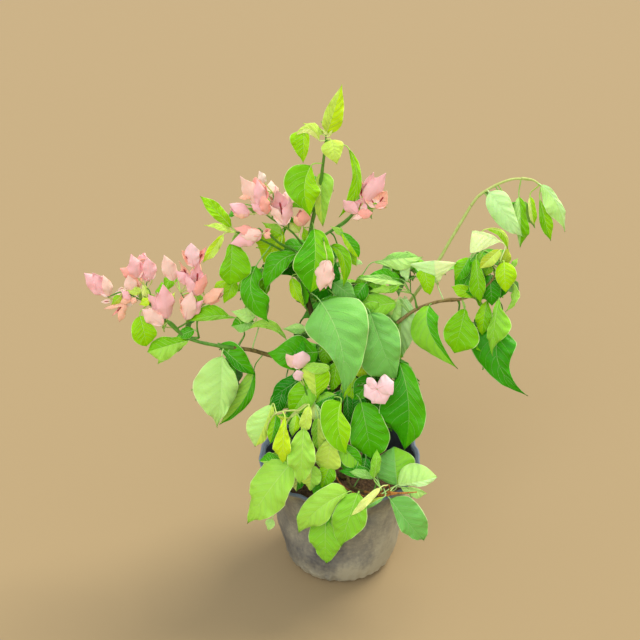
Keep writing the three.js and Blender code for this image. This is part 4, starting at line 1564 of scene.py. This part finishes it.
close_finish(
    tree,
    Base_Color=colour.outputs["Color"],
    Roughness=shine.outputs["Result"],
    Normal=bump.outputs["Normal"],
    IOR=FILM_IOR,
)

# %% Lip with a painted sheen, and clean inside
# The lip's blue-grey haze is a painted sheen: the sky's reflection on the film's rolled edge.
finishes["film_lip_painted_sheen"], tree, place = new_finish("film_polyethylene_lip_painted_sheen")
haze = add_node(tree, "ShaderNodeTexNoise", {"Vector": place, "Scale": per_mm(9), "Detail": 3.0})
colour = add_node(tree, "ShaderNodeValToRGB", {"Fac": haze.outputs["Fac"]})
colour.color_ramp.elements[0].color = linear("566579")
colour.color_ramp.elements[1].color = linear("8c9bb0")
close_finish(tree, Base_Color=colour.outputs["Color"], Roughness=0.5, IOR=FILM_IOR)
finishes["film_inside"], tree, place = new_finish("film_polyethylene_clean")
haze = add_node(tree, "ShaderNodeTexNoise", {"Vector": place, "Scale": per_mm(14), "Detail": 3.0})
colour = add_node(tree, "ShaderNodeValToRGB", {"Fac": haze.outputs["Fac"]})
colour.color_ramp.elements[0].color = linear("141a20")
colour.color_ramp.elements[1].color = linear("35424e")
bump = add_node(
    tree, "ShaderNodeBump", {"Height": haze.outputs["Fac"], "Strength": 0.3, "Distance": 0.6 * MM}
)
close_finish(
    tree,
    Base_Color=colour.outputs["Color"],
    Roughness=0.4,
    Normal=bump.outputs["Normal"],
    IOR=FILM_IOR,
)
print("film finishes:", [name for name in finishes if name.startswith("film")])

# %% The bag's piece
bag = Piece("film_bag")
ring = np.repeat(np.arange(len(profile) - 1), BAG_TURNS)
names = np.where(ring < len(outer) + len(crown), "film", "film_inside").astype(object)
# The top band of the film gets the lip's painted sheen.
names[ring_heights[ring] > BAG_HEIGHT - LIP] = "film_lip_painted_sheen"
bag.add(spots, ring_quads(len(profile), BAG_TURNS), list(names))
bag.make("bag_film", ["nursery_bag"])
print("bag:", bag.triangles, "triangles")

# %% [markdown]
# ## Potting soil
# The mix in such a bag is dark and crumbly: peat, sand and bits of husk. Only its top shows, between
# the leaves, so the top has the crumbs in its mesh and the rest of the plug is plain.

# %% Soil finish
CRUMB = 4.0
GRIT = 2.2
finishes["soil"], tree, place = new_finish("soil_peat_mix")
crumbs = add_node(
    tree, "ShaderNodeTexVoronoi", {"Vector": place, "Scale": per_mm(CRUMB), "Randomness": 1.0}
)
grit = add_node(
    tree,
    "ShaderNodeTexNoise",
    {"Vector": place, "Scale": per_mm(GRIT), "Detail": 6.0, "Roughness": 0.7},
)
colour = add_node(tree, "ShaderNodeValToRGB", {"Fac": grit.outputs["Fac"]})
colour.color_ramp.elements[0].position = 0.35
colour.color_ramp.elements[0].color = linear("2a1b10")
colour.color_ramp.elements[1].position = 0.68
colour.color_ramp.elements[1].color = linear("7a5d3d")
height = add_node(
    tree, "ShaderNodeMath", {0: crumbs.outputs["Distance"], 1: grit.outputs["Fac"]}, operation="ADD"
)
bump = add_node(
    tree, "ShaderNodeBump", {"Height": height.outputs["Value"], "Strength": 0.8, "Distance": 1.5 * MM}
)
close_finish(tree, Base_Color=colour.outputs["Color"], Roughness=0.95, Normal=bump.outputs["Normal"])

# %% Soil piece
SOIL_LEVEL = 112.0
SOIL_ROUGH = 2.6
SOIL_GAP = 1.2
SOIL_LUMPS = 60
SOIL_TURNS = 96
SOIL_SEED = 77
edge = float(np.interp(SOIL_LEVEL, side_z, side_r)) - FILM - SOIL_GAP
dice = np.random.default_rng(SOIL_SEED)
turn = np.linspace(0, 2 * math.pi, SOIL_TURNS, endpoint=False)[None]
rings = np.linspace(0.01, 1, 34)
plug = [(0.01, FILM + 1.5), (46, FILM + 1.5), (55, 18), (58, 60), (60, 90)]
radius = np.concatenate(([r for r, _ in plug], edge * rings[::-1]))[:, None]
level = np.concatenate(([z for _, z in plug], SOIL_LEVEL - 2.2 * rings[::-1] ** 2))[:, None]
radius = radius + film_push(turn, level) * ease(radius, edge * 0.8, edge)
x, y = radius * np.cos(turn), radius * np.sin(turn)
lumps = np.zeros(x.shape)
for _ in range(SOIL_LUMPS):
    way = dice.normal(0, 1, 2)
    way = way / np.linalg.norm(way) * 2 * math.pi / dice.uniform(4, 26)
    lumps += np.sin(x * way[0] + y * way[1] + dice.uniform(0, 6.28)) / math.sqrt(SOIL_LUMPS)
top = (np.arange(len(radius)) >= len(plug))[:, None]
calm = 1 - np.exp(-((np.hypot(x - 6, y + 2) / 12) ** 2))
z = level + np.where(top, SOIL_ROUGH * np.abs(lumps) * calm - 1.0, 0)
stray = slouched(turn, level)
spots = np.stack((x * stray, y * stray, np.broadcast_to(z, x.shape)), -1)
soil = Piece("soil_top")
soil.add(spots, ring_quads(len(radius), SOIL_TURNS), "soil")
soil.make("potting_soil", ["potting_soil"])
print("soil:", soil.triangles, "triangles")

# %% [markdown]
# ## Floor and light
# The picture has open shade with a bright sky: soft light from above and a little from behind right,
# which gives the pot a faint shadow to its left. One pale dome and two soft suns do that.

# %% Stage and light
FLOOR_REACH = 30.0
FLOOR_DROP = 0.0005
floor_mesh = bpy.data.meshes.new("floor")
corners = [(FLOOR_REACH * x, FLOOR_REACH * y, 0) for x, y in ((-1, -1), (1, -1), (1, 1), (-1, 1))]
floor_mesh.from_pydata(corners, [], [(0, 1, 2, 3)])
floor = bpy.data.objects.new("floor", floor_mesh)
floor.location.z = -FLOOR_DROP
bpy.context.scene.collection.objects.link(floor)
floor_finish, tree, place = new_finish("floor_pale")
grain = add_node(tree, "ShaderNodeTexNoise", {"Vector": place, "Scale": per_mm(60), "Detail": 4.0})
bump = add_node(
    tree, "ShaderNodeBump", {"Height": grain.outputs["Fac"], "Strength": 0.15, "Distance": 2 * MM}
)
close_finish(tree, Base_Color=linear("9e8a67"), Roughness=0.9, Normal=bump.outputs["Normal"])
floor_mesh.materials.append(floor_finish)

world = bpy.data.worlds.new("sky")
world.use_nodes = True
world.node_tree.nodes["Background"].inputs["Color"].default_value = linear("f4f3ee")
world.node_tree.nodes["Background"].inputs["Strength"].default_value = 0.8
bpy.context.scene.world = world


def sun(name, place, strength, spread, code):
    """A sun that shines from a place towards the plant, softened by its angle in degrees."""
    data = bpy.data.lights.new(name, "SUN")
    data.energy = strength
    data.angle = math.radians(spread)
    data.color = linear(code)[:3]
    made = bpy.data.objects.new(name, data)
    made.location = place
    way = -np.array(place)
    flat = math.hypot(way[0], way[1])
    made.rotation_euler = (math.atan2(flat, -way[2]), 0, math.atan2(-way[0], way[1]))
    bpy.context.scene.collection.objects.link(made)


sun("key", (1.2, 0.9, 2.2), 2.7, 28, "fff6e4")
sun("fill", (-0.5, -1.7, 1.5), 1.35, 45, "f6f8ff")
bpy.context.scene.view_settings.view_transform = "Standard"
print("lights:", [light.name for light in bpy.data.lights])
